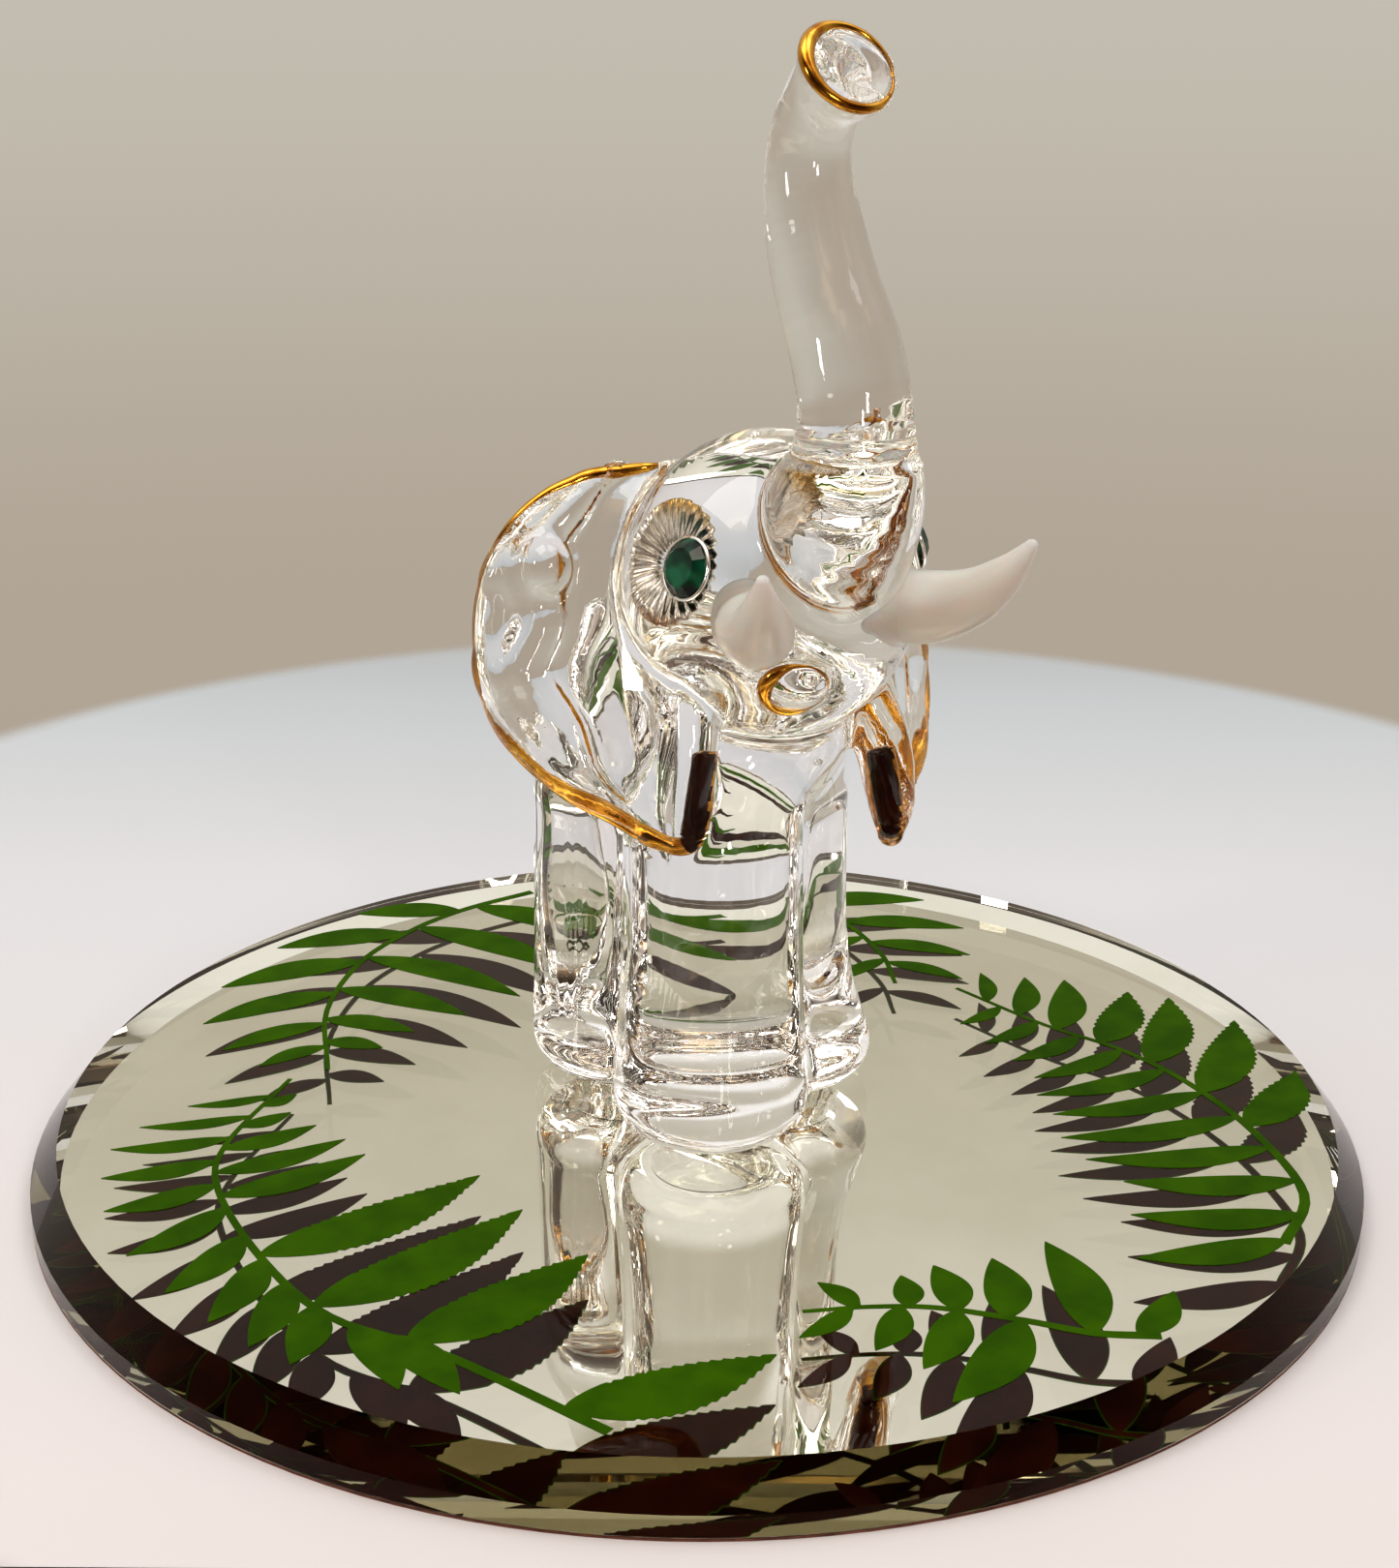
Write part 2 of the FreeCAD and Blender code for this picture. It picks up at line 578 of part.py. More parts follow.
def elephant():
    torso_blank = ellipsoid("torso_blank", "torso_rx", "torso_ry", "torso_rz", "torso_y", "torso_z")
    head_ball = ellipsoid("head_ball", "head_rx", "head_ry", "head_rz", "head_y", "head_z")

    trunk_full = tube("trunk_full", "trunk", len(TRUNK))
    below_seam = doc.addObject("Part::Box", "below_seam")
    below_seam.Length, below_seam.Width, below_seam.Height = 40, 40, 80
    place(below_seam, -20, -32, size("trunk_seam_z") - 80)
    root_blank = doc.addObject("Part::MultiCommon", "root_blank")
    root_blank.Shapes = [trunk_full, below_seam]
    head_blank = fuse("head_blank", [head_ball, root_blank])
    node(cut("trunk_root", head_blank, [head_ball]), "trunk_root", on_mirror=True)
    node(cut("trunk", trunk_full, [below_seam]), "trunk", on_mirror=True)
    node(cut("torso", torso_blank, [head_blank]), "torso", on_mirror=True)

    eyes = []
    for side, hand in ((-1, "right"), (1, "left")):
        eyes += eye(side, hand)
        blank = ear_blank(side, hand)
        node(cut(hand + "_ear", blank, [head_blank, torso_blank]), hand + "_ear", on_mirror=True)
        lobe_count = sum(1 for row in EAR if row[-1] > 0)
        gold = fuse(hand + "_ear_threads", [ear_edge(side, hand, "out", "rim", len(EAR)),
                                            ear_edge(side, hand, "in", "lobe", lobe_count)])
        node(cut(hand + "_ear_gold", gold, [blank, head_blank, torso_blank]), hand + "_ear_gold",
             on_mirror=True)
        tusk_blank = tube(hand + "_tusk_blank", "tusk", len(TUSK), side)
        node(cut(hand + "_tusk", tusk_blank, [head_blank]), hand + "_tusk", on_mirror=True)

    line = mouth_ring()
    lip_blank = ellipsoid("lip_blank", "lip_rx", "lip_ry", "lip_rz", "lip_y", "lip_z")
    bind(lip_blank, Placement__Base__x="lip_x")
    node(cut("lower_lip", lip_blank, [head_blank, line]), "lower_lip", on_mirror=True)
    node(cut("mouth_gold", line, [head_blank]), "mouth_gold", on_mirror=True)
    node(cut("head", head_ball, eyes), "head", on_mirror=True)

    legs(torso_blank, head_blank)
    foot_adhesive()

    tip = add("Part::Ellipsoid", "tail_tip", Radius1="tail_tip_half", Radius2="tail_tip_radius",
              Radius3="tail_tip_radius")
    bind(tip, Placement__Base__y=f"tail_posy_{len(TAIL) - 1}")
    tip.setExpression("Placement.Base.z", f"sizes.tail_posz_{len(TAIL) - 1} - sizes.tail_tip_half * 0.6")
    tail_blank = tube("tail_blank", "tail", len(TAIL))
    node(cut("tail", tail_blank, [torso_blank, tip]), "tail", on_mirror=True)
    node(cut("tail_tip_gold", tip, [torso_blank]), "tail_tip_gold", on_mirror=True)

    last = len(TRUNK) - 1
    nose = Vector(0, size(f"trunk_posy_{last}"), size(f"trunk_posz_{last}"))
    before = Vector(0, size(f"trunk_posy_{last - 1}"), size(f"trunk_posz_{last - 1}"))
    forward = nose - before
    forward.normalize()
    start = nose - forward * size("tip_gold_length")
    sleeves = []
    for name, offset in (("trunk_tip_sleeve", "+ sizes.gold_thick"),
                         ("trunk_tip_mouth", "- sizes.tip_gold_lap")):
        sleeve = doc.addObject("Part::Cylinder", name)
        sleeve.setExpression("Radius", f"sizes.trunk_radius_{last} {offset}")
        sleeve.setExpression("Height", "sizes.tip_gold_length + sizes.gold_thick")
        sleeves.append(place(sleeve, start.x, start.y, start.z, along(forward)))
    node(cut("trunk_tip_gold", sleeves[0], [sleeves[1], trunk_full]), "trunk_tip_gold", on_mirror=True)


def check_and_write():
    doc.recompute()
    failed = [thing.Name for thing in doc.Objects if "Invalid" in thing.State or "Error" in thing.State]
    if failed:
        raise RuntimeError(f"failed objects: {failed}")
    for part in NODES:
        if part.Shape.isNull() or not part.Shape.isValid() or part.Shape.Volume <= 0:
            raise RuntimeError(f"bad shape: {part.Label}")
    for part in NODES:
        part.Shape.exportStep(f"parts/{part.Label}.step")
        box = part.Shape.BoundBox
        print(f"{part.Label:26s} solids {len(part.Shape.Solids)} volume {part.Shape.Volume:9.2f} "
              f"x {box.XMin:6.1f} {box.XMax:6.1f} y {box.YMin:6.1f} {box.YMax:6.1f} "
              f"z {box.ZMin:6.2f} {box.ZMax:6.2f}")


disc("backing_paint", "paint_thick")
disc("silver_layer", "silver_thick", "silver_z")
mirror_glass()
for fern_label, fern_rows in FERNS.items():
    fern_print(fern_label, fern_rows)
elephant()
check_and_write()
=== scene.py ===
"""Looks of the lamp-worked glass elephant on its round bevelled mirror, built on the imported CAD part.

The clear glass of the elephant is one fused skin, drawn as a distance field and meshed; the gold,
the opal tusks, the eyes, the fern prints and the silvering are pieces of their own.
"""
import math
import bmesh
import bpy
import numpy as np
from mathutils import Matrix, Vector


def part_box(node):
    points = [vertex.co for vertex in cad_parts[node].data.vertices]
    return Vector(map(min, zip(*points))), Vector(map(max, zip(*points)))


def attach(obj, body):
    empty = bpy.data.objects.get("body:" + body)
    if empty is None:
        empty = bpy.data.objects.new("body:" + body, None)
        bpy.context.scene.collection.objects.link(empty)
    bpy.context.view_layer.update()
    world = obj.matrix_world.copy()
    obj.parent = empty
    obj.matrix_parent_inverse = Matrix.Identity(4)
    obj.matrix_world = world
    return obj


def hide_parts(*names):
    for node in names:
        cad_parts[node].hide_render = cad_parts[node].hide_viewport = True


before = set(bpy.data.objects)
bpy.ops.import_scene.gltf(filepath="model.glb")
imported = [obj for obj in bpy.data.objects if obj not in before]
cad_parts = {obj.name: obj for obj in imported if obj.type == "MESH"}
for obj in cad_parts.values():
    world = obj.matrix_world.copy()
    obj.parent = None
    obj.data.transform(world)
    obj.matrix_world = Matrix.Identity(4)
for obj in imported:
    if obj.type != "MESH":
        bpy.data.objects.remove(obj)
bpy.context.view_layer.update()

MM = 0.001

# ---------------------------------------------------------------- driving dimensions (mm), from the frame
MIRROR_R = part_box("mirror_glass")[1].x / MM
MIRROR_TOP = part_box("mirror_glass")[1].z / MM
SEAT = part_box("foot_adhesive")[1].z / MM
ELEPHANT_X = 1.8
SKIN_STEP = 0.31

TORSO = ((0.0, 3.2, 22.6), (7.5, 10.8, 6.6))
HEAD = ((0.0, -4.3, 31.0), (8.0, 8.1, 8.3))
TRUNK = [  # y, z, radius
    (-8.4, 33.6, 3.20), (-10.2, 34.4, 3.85), (-11.3, 36.4, 3.80), (-12.0, 38.6, 3.30),
    (-12.1, 39.6, 3.06), (-11.9, 42.0, 2.85), (-10.9, 44.5, 2.80), (-9.3, 47.0, 2.65),
    (-8.0, 49.6, 2.50), (-7.3, 52.0, 2.25), (-7.4, 54.2, 2.05), (-8.5, 56.1, 2.00),
    (-9.9, 57.1, 2.20), (-10.8, 57.7, 2.60),
]
TRUNK_SEAM = 39.3
SEAM_GROOVE, SEAM_STEP = 0.12, 0.16
TIP_HOLLOW = (3.6, 4.0)  # centre beyond the tip, radius
TAIL = [  # y, z, radius
    (10.6, 25.0, 1.30), (12.6, 25.2, 1.15), (14.9, 24.6, 1.00), (16.3, 22.4, 0.85),
    (16.7, 19.6, 0.75), (16.5, 17.2, 0.65), (16.3, 15.6, 0.62),
]
TUSK = [  # outward x, y, z, radius
    (3.2, -7.6, 30.9, 1.60), (4.2, -9.4, 30.6, 1.95), (5.3, -11.7, 30.8, 1.90),
    (6.4, -13.8, 31.7, 1.50), (7.3, -15.4, 33.2, 0.95), (7.9, -16.4, 34.7, 0.35),
]
EAR = [  # z, inner edge x, y, outer edge x, y, half thickness
    (17.9, 6.7, -6.7, 7.0, -6.1, 0.50), (19.1, 6.7, -6.7, 8.6, -4.3, 0.80),
    (20.6, 6.6, -6.6, 10.8, -2.2, 1.00), (23.3, 6.2, -6.3, 12.8, 0.4, 1.15),
    (26.5, 5.6, -5.2, 13.2, 2.0, 1.20), (30.0, 5.2, -3.4, 12.7, 2.9, 1.20),
    (33.2, 4.8, -1.9, 11.4, 2.9, 1.10), (35.4, 4.2, -0.8, 9.2, 2.6, 0.90),
    (36.6, 3.7, 0.2, 6.2, 1.9, 0.50),
]
EAR_GOLD = [  # share of the way from the top round the rim to the lobe's tip and up its free edge, radius
    (0.0, 0.34), (0.10, 0.42), (0.18, 0.26), (0.45, 0.26), (0.62, 0.40), (0.76, 0.46), (0.84, 0.50),
    (0.90, 0.72), (1.0, 0.72),
]
LOBE_START = 0.86
GOLD_TOP = (3.9, 0.3, 37.0)  # outward x, y, z where the stroke starts on the head
GOLD_SEAT = 0.82  # share of the ear's half thickness
FREE_EDGE = 5.6  # how far up the lobe's inner edge the gold runs
DARK_REFLECTION_SIDE = Vector((-0.72, -0.66, 0.2))  # painted reflection: the lobe's side turned towards the camera and the dark room is painted near-black gold
EAR_SECTION = [  # share from the root to the rim, thickness as a share of the row's
    (0.0, 1.45), (0.16, 1.05), (0.34, 0.74), (0.60, 0.70), (0.68, 0.84), (0.76, 1.22),
    (0.88, 1.28), (1.0, 0.98),
]
EAR_CUP = 0.7
EAR_LUMP = 0.07
EAR_LENS = ((10.6, 1.2, 32.0), (1.35, 1.5, 1.6))  # centre, radii of the lump in the ear
LEFT_EAR_DROP = 1.5
LEGS = [  # x, y, foot, ankle, top radius
    (-3.6, -4.6, 5.6, 5.2, 4.9), (3.7, -0.3, 5.6, 3.7, 3.6),
    (-3.9, 5.2, 5.5, 5.3, 5.2), (3.8, 9.2, 5.4, 4.9, 4.8),
]
LEG_HEIGHT = 21.5
SOLE_ROUND = 2.5
FOOT_FLARE = 5.4
DOME_ROUND = 0.9
BELLY = ((0.0, 2.4, 14.5), (4.6, 7.5, 12.0))
LIP = ((-2.2, -10.3, 27.5), (1.75, 1.75, 1.4))
MOUTH_SEAT = 7.75  # from the head's centre
BLEND = {  # how far each joint between pieces is rounded
    "leg": 1.3, "torso": 2.4, "belly": 1.2, "tail": 1.0, "trunk": 0.9, "lip": 0.5, "ear": 0.5,
    "neck": 0.9,
}
EYE_AZIMUTH, EYE_ELEVATION = 66, 17
EYE_SEAT = 7.85  # from the head's centre
EYE_TURN = 14
FOIL_TURN = 14


# ---------------------------------------------------------------- small helpers
def smooth_rows(rows, per_span):
    """Catmull-Rom rows through the listed stations."""
    table = np.array(rows, float)
    padded = np.vstack([2 * table[0] - table[1], table, 2 * table[-1] - table[-2]])
    out = []
    for k in range(len(table) - 1):
        a, b, c, d = padded[k:k + 4]
        for t in np.linspace(0, 1, per_span, endpoint=False):
            out.append(0.5 * (2 * b + (c - a) * t + (2 * a - 5 * b + 4 * c - d) * t * t
                              + (3 * b - a - 3 * c + d) * t ** 3))
    out.append(table[-1])
    return np.array(out)


def smooth_min(a, b, reach):
    """The union of two distances, rounded over a reach."""
    h = np.clip(0.5 + 0.5 * (b - a) / reach, 0, 1)
    return b + (a - b) * h - reach * h * (1 - h)


def to_scene(points):
    """Elephant millimetres to scene metres: the elephant stands on the mirror."""
    return (np.asarray(points, float) + (ELEPHANT_X, 0, SEAT)) * MM


def add_mesh(name, verts, faces, material, slot, replaces=(), smooth=True):
    """A closed mesh piece; with a slot it joins the row's body and stands for the CAD nodes named."""
    mesh = bpy.data.meshes.new(name)
    mesh.from_pydata([tuple(v) for v in verts], [], [tuple(int(i) for i in f) for f in faces])
    mesh.update()
    tidy = bmesh.new()
    tidy.from_mesh(mesh)
    bmesh.ops.recalc_face_normals(tidy, faces=tidy.faces)
    tidy.to_mesh(mesh)
    tidy.free()
    mesh.polygons.foreach_set("use_smooth", [smooth] * len(mesh.polygons))
    piece = bpy.data.objects.new(name, mesh)
    bpy.context.scene.collection.objects.link(piece)
    mesh.materials.append(material)
    if slot:
        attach(piece, "root")
    if replaces:
        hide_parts(*replaces)
    return piece


# ---------------------------------------------------------------- materials
def set_stops(node, stops):
    """Fills a colour ramp node with (place, colour) stops."""
    while len(node.color_ramp.elements) < len(stops):
        node.color_ramp.elements.new(0.5)
    for element, (place, colour) in zip(node.color_ramp.elements, stops):
        element.position = place
        element.color = (*colour, 1)


class Nodes:
    """A short way to write a node tree."""

    def __init__(self, name):
        self.material = bpy.data.materials.new(name)
        self.material.use_nodes = True
        self.tree = self.material.node_tree
        self.shader = self.tree.nodes["Principled BSDF"]

    def add(self, kind, **settings):
        new = self.tree.nodes.new("ShaderNode" + kind)
        for key, value in settings.items():
            if hasattr(new, key):
                setattr(new, key, value)
            else:
                new.inputs[key].default_value = value
        return new

    def link(self, source, target):
        self.tree.links.new(source, target)

    def set(self, **values):
        for key, value in values.items():
            self.shader.inputs[key.replace("_", " ")].default_value = value

    def noise(self, scale, detail=3.0, stretch=(1, 1, 1)):
        """Noise over the piece's own coordinates; the scale is in cells per metre."""
        where = self.add("TexCoord")
        spread = self.add("Mapping")
        spread.inputs["Scale"].default_value = stretch
        texture = self.add("TexNoise", Scale=scale, Detail=detail)
        self.link(where.outputs["Object"], spread.inputs["Vector"])
        self.link(spread.outputs["Vector"], texture.inputs["Vector"])
        return texture

    def ramp(self, source, *stops):
        node = self.add("ValToRGB")
        set_stops(node, stops)
        self.link(source, node.inputs["Fac"])
        return node

    def bump(self, source, distance):
        node = self.add("Bump", Strength=1.0, Distance=distance)
        self.link(source, node.inputs["Height"])
        self.link(node.outputs["Normal"], self.shader.inputs["Normal"])

    def roughness(self, source, low, high):
        span = self.add("MapRange")
        span.inputs["To Min"].default_value = low
        span.inputs["To Max"].default_value = high
        self.link(source, span.inputs["Value"])
        self.link(span.outputs["Result"], self.shader.inputs["Roughness"])


def clear_glass(name, tint, ior, wave, bump):
    """Clear glass with faint drawn striae."""
    m = Nodes(name)
    m.set(Transmission_Weight=1.0, IOR=ior, Roughness=0.0)
    striae = m.noise(wave, 1.5, (1, 1, 0.35))
    colour = m.ramp(striae.outputs["Fac"], (0.3, tint), (0.7, tuple(min(1.0, c + 0.012) for c in tint)))
    m.link(colour.outputs["Color"], m.shader.inputs["Base Color"])
    m.bump(striae.outputs["Fac"], bump * MM)
    return m.material


def metal(name, dark, light, rough, scale, bump=0.01):
    """Metal with a faint grain."""
    m = Nodes(name)
    m.set(Metallic=1.0)
    grain = m.noise(scale, 4.0)
    colour = m.ramp(grain.outputs["Fac"], (0.35, dark), (0.65, light))
    m.link(colour.outputs["Color"], m.shader.inputs["Base Color"])
    m.roughness(grain.outputs["Fac"], *rough)
    m.bump(grain.outputs["Fac"], bump * MM)
    return m.material


def pleated_foil(name):
    """Silver foil that turns gold above and below the eye, with bright and dull pleats."""
    m = Nodes(name)
    m.set(Metallic=1.0)
    where = m.add("TexCoord")
    split = m.add("SeparateXYZ")
    m.link(where.outputs["Object"], split.inputs[0])
    height = m.add("MapRange")
    eye_height = (SEAT + HEAD[0][2] + 7.0 * math.sin(math.radians(EYE_ELEVATION))) * MM
    height.inputs["From Min"].default_value = eye_height - 3.2 * MM
    height.inputs["From Max"].default_value = eye_height + 3.2 * MM
    m.link(split.outputs["Z"], height.inputs["Value"])
    colour = m.ramp(height.outputs["Result"], (0.03, (0.50, 0.25, 0.08)), (0.16, (0.96, 0.94, 0.91)),
                    (0.80, (0.98, 0.97, 0.95)), (0.96, (0.80, 0.58, 0.22)))
    m.link(colour.outputs["Color"], m.shader.inputs["Base Color"])
    grain = m.noise(900, 3.0)
    m.roughness(grain.outputs["Fac"], 0.10, 0.30)
    m.bump(grain.outputs["Fac"], 0.03 * MM)
    return m.material


def paint(name, dark, light, rough, scale, coat=0.0, bump=0.01, gloss=0.2):
    """Opaque paint with a faint mottle."""
    m = Nodes(name)
    m.set(Coat_Weight=coat, Coat_Roughness=0.1, Specular_IOR_Level=gloss)
    grain = m.noise(scale, 5.0)
    colour = m.ramp(grain.outputs["Fac"], (0.35, dark), (0.65, light))
    m.link(colour.outputs["Color"], m.shader.inputs["Base Color"])
    m.roughness(grain.outputs["Fac"], *rough)
    m.bump(grain.outputs["Fac"], bump * MM)
    return m.material


def opal(name):
    """Milky glass, faintly pink, with light passing into it."""
    m = Nodes(name)
    m.set(Subsurface_Weight=1.0, Subsurface_Scale=4 * MM, Roughness=0.24, IOR=1.45, Transmission_Weight=0.3)
    m.shader.inputs["Subsurface Radius"].default_value = (1.0, 0.6, 0.5)
    cloud = m.noise(110, 2.0)
    colour = m.ramp(cloud.outputs["Fac"], (0.3, (0.93, 0.84, 0.79)), (0.7, (0.97, 0.90, 0.86)))
    m.link(colour.outputs["Color"], m.shader.inputs["Base Color"])
    m.bump(cloud.outputs["Fac"], 0.003 * MM)
    return m.material


def stone(name):
    """Dark green cut stone: painted light and dark flashes, a noise in its colour, over flat facets that
    catch real glints.
    """
    m = Nodes(name)
    m.set(Roughness=0.04, IOR=1.4)
    # painted highlights: light and dark flashes laid into the base colour by a noise
    painted_flash = m.noise(700, 1.0)
    colour = m.ramp(painted_flash.outputs["Fac"], (0.42, (0.001, 0.008, 0.005)), (0.55, (0.004, 0.050, 0.026)),
                    (0.66, (0.010, 0.130, 0.065)))
    m.link(colour.outputs["Color"], m.shader.inputs["Base Color"])
    return m.material


GLASS = clear_glass("elephant_glass", (0.975, 0.968, 0.962), 1.52, 180, 0.012)
PLATE = clear_glass("plate_glass", (0.975, 0.985, 0.965), 1.50, 60, 0.0005)
PLATE_SHADER = PLATE.node_tree.nodes["Principled BSDF"]
PLATE_SHADER.inputs["Specular Tint"].default_value = (0.08, 0.0, 0.0, 1)
GLUE = clear_glass("clear_glue", (0.97, 0.97, 0.95), 1.48, 300, 0.002)
SILVER = metal("silvering", (0.80, 0.78, 0.70), (0.86, 0.84, 0.77), (0.004, 0.012), 90, 0.0)
BACKING = paint("copper_backing", (0.10, 0.035, 0.025), (0.20, 0.08, 0.055), (0.45, 0.6), 900)
FERN = paint("fern_green", (0.026, 0.076, 0.0002), (0.040, 0.106, 0.0004), (0.42, 0.55), 420,
             bump=0.004, gloss=0.02)
FERN_UNDER = paint("fern_underside", (0.034, 0.006, 0.002), (0.060, 0.012, 0.004), (0.5, 0.6), 420,
                   bump=0.004, gloss=0.02)
GOLD = metal("gold_lustre", (0.38, 0.15, 0.015), (0.72, 0.38, 0.06), (0.10, 0.22), 800, 0.012)
# painted reflection: near-black gold paint that stands in for the gold lustre mirroring the dark room in
# front
GOLD_PAINTED_DARK = paint("gold_painted_dark_reflection", (0.026, 0.003, 0.001), (0.050, 0.008, 0.002), (0.10, 0.2), 500,
                   coat=0.1, gloss=0.1)
FOIL = pleated_foil("pleated_foil")
OPAL = opal("opal_glass")
STONE = stone("green_stone")


# ---------------------------------------------------------------- the glass skin as a distance field
def ball(p, centre, radii):
    """The distance to an ellipsoid."""
    q = (p - centre) / radii
    k0 = np.linalg.norm(q, axis=1)
    k1 = np.linalg.norm(q / radii, axis=1)
    return k0 * (k0 - 1) / np.maximum(k1, 1e-6)


def chain(p, rows):
    """Distance to a row of round cones through (x, y, z, radius) rows."""
    best = np.full(len(p), 1e3)
    low = rows[:, :3].min(0) - 6
    high = rows[:, :3].max(0) + 6
    near = np.all((p > low) & (p < high), axis=1)
    q = p[near]
    least = np.full(len(q), 1e3)
    for a, b in zip(rows[:-1], rows[1:]):
        step = b[:3] - a[:3]
        h = np.clip((q - a[:3]) @ step / (step @ step), 0, 1)
        away = np.linalg.norm(q - a[:3] - h[:, None] * step, axis=1) - (a[3] + (b[3] - a[3]) * h)
        least = np.minimum(least, away)
    best[near] = least
    return best


def rounded_corner(side, end, reach):
    """The distance to a column's side and flat end, whose corner is rounded."""
    q = np.stack([side + reach, end + reach], axis=1)
    return np.linalg.norm(np.maximum(q, 0), axis=1) + np.minimum(q.max(axis=1), 0) - reach


def leg(p, row):
    """A stout column with a flared, rounded foot standing on Z = 0."""
    x, y, foot, ankle, top = row
    rise = np.clip(p[:, 2] / LEG_HEIGHT, 0, 1)
    flare = (foot - ankle) * np.exp(-(p[:, 2] / FOOT_FLARE) ** 2)
    radius = ankle + flare + (top - ankle) * rise * rise * (3 - 2 * rise)
    side = np.hypot(p[:, 0] - x, p[:, 1] - y) - radius
    sole = rounded_corner(side, -p[:, 2], SOLE_ROUND)
    dome = rounded_corner(side, p[:, 2] - LEG_HEIGHT, top * DOME_ROUND)
    return np.maximum(sole, dome)


EAR_ROWS = smooth_rows(EAR, 6)


def ear_drop(side, z):
    """How far an ear hangs below its rows: only the left one does, and its lower part more."""
    return (LEFT_EAR_DROP if side > 0 else 0.0) * np.clip((36 - z) / 10, 0, 1)


def ear(p, side):
    """A pressed glass leaf: thick rolled edge, thinner cupped middle."""
    z = p[:, 2] + ear_drop(side, p[:, 2])
    heights = EAR_ROWS[:, 0]
    inx, iny, outx, outy, half = (np.interp(z, heights, EAR_ROWS[:, k]) for k in range(1, 6))
    ax, ay = side * inx, iny
    bx, by = side * outx, outy
    dx, dy = bx - ax, by - ay
    length = np.maximum(np.hypot(dx, dy), 1e-6)
    t = np.clip(((p[:, 0] - ax) * dx + (p[:, 1] - ay) * dy) / length ** 2, 0, 1)
    bow = EAR_CUP * 4 * t * (1 - t) * np.clip(length / 8, 0, 1)
    cx = ax + dx * t + side * dy / length * bow * -1
    cy = ay + dy * t + side * dx / length * bow
    thick = half * np.interp(t + EAR_LUMP * np.sin(1.1 * z + 1.0) * t, *np.array(EAR_SECTION).T)
    over = np.maximum(np.maximum(heights[0] - z, z - heights[-1]), 0)
    leaf = np.sqrt((p[:, 0] - cx) ** 2 + (p[:, 1] - cy) ** 2 + over ** 2) - thick
    centre, radii = map(np.array, EAR_LENS)
    lens = ball(p, centre * (side, 1, 1), radii)
    return smooth_min(leaf, lens, 0.6)


def with_x(rows, side=0):
    """(y, z, r) rows in the plane of symmetry, or (outward x, y, z, r) rows on one side, as (x, y, z, r)."""
    table = np.array(rows, float)
    if side:
        return np.hstack([side * table[:, :1], table[:, 1:]])
    return np.hstack([np.zeros((len(table), 1)), table])


TRUNK_ROWS = smooth_rows(with_x(TRUNK), 4)
TAIL_ROWS = smooth_rows(with_x(TAIL), 3)
TIP = TRUNK_ROWS[-1, :3]
TIP_DIRECTION = np.array([0.0, -0.80, 0.60])
TIP_DIRECTION = TIP_DIRECTION / np.linalg.norm(TIP_DIRECTION)


def trunk(p):
    """The raised trunk: its tip is pressed flat and slightly hollow, and its root shows the seam."""
    tube = chain(p, TRUNK_ROWS)
    tube = np.maximum(tube, (p - TIP) @ TIP_DIRECTION)
    beyond, radius = TIP_HOLLOW
    hollow = ball(p, TIP + TIP_DIRECTION * beyond, (radius, radius, radius))
    tube = np.maximum(tube, -hollow)
    groove = SEAM_GROOVE * np.exp(-((p[:, 2] - TRUNK_SEAM) / 0.25) ** 2)
    step = SEAM_STEP / (1 + np.exp((p[:, 2] - TRUNK_SEAM) * 10))
    return tube + groove - step


def skin(p):
    """The whole elephant as one fused skin."""
    columns = leg(p, LEGS[0])
    for row in LEGS[1:]:
        columns = smooth_min(columns, leg(p, row), BLEND["leg"])
    body = smooth_min(ball(p, *map(np.array, TORSO)), columns, BLEND["torso"])
    body = smooth_min(body, ball(p, *map(np.array, BELLY)), BLEND["belly"])
    body = smooth_min(body, chain(p, TAIL_ROWS), BLEND["tail"])
    head = ball(p, *map(np.array, HEAD))
    head = smooth_min(head, trunk(p), BLEND["trunk"])
    head = smooth_min(head, ball(p, *map(np.array, LIP)), BLEND["lip"])
    for side in (-1, 1):
        head = smooth_min(head, ear(p, side), BLEND["ear"])
    return smooth_min(body, head, BLEND["neck"])


def slabs(field, points, size=400000):
    """The field at many points, a slab at a time."""
    return np.concatenate([field(points[k:k + size]) for k in range(0, len(points), size)])


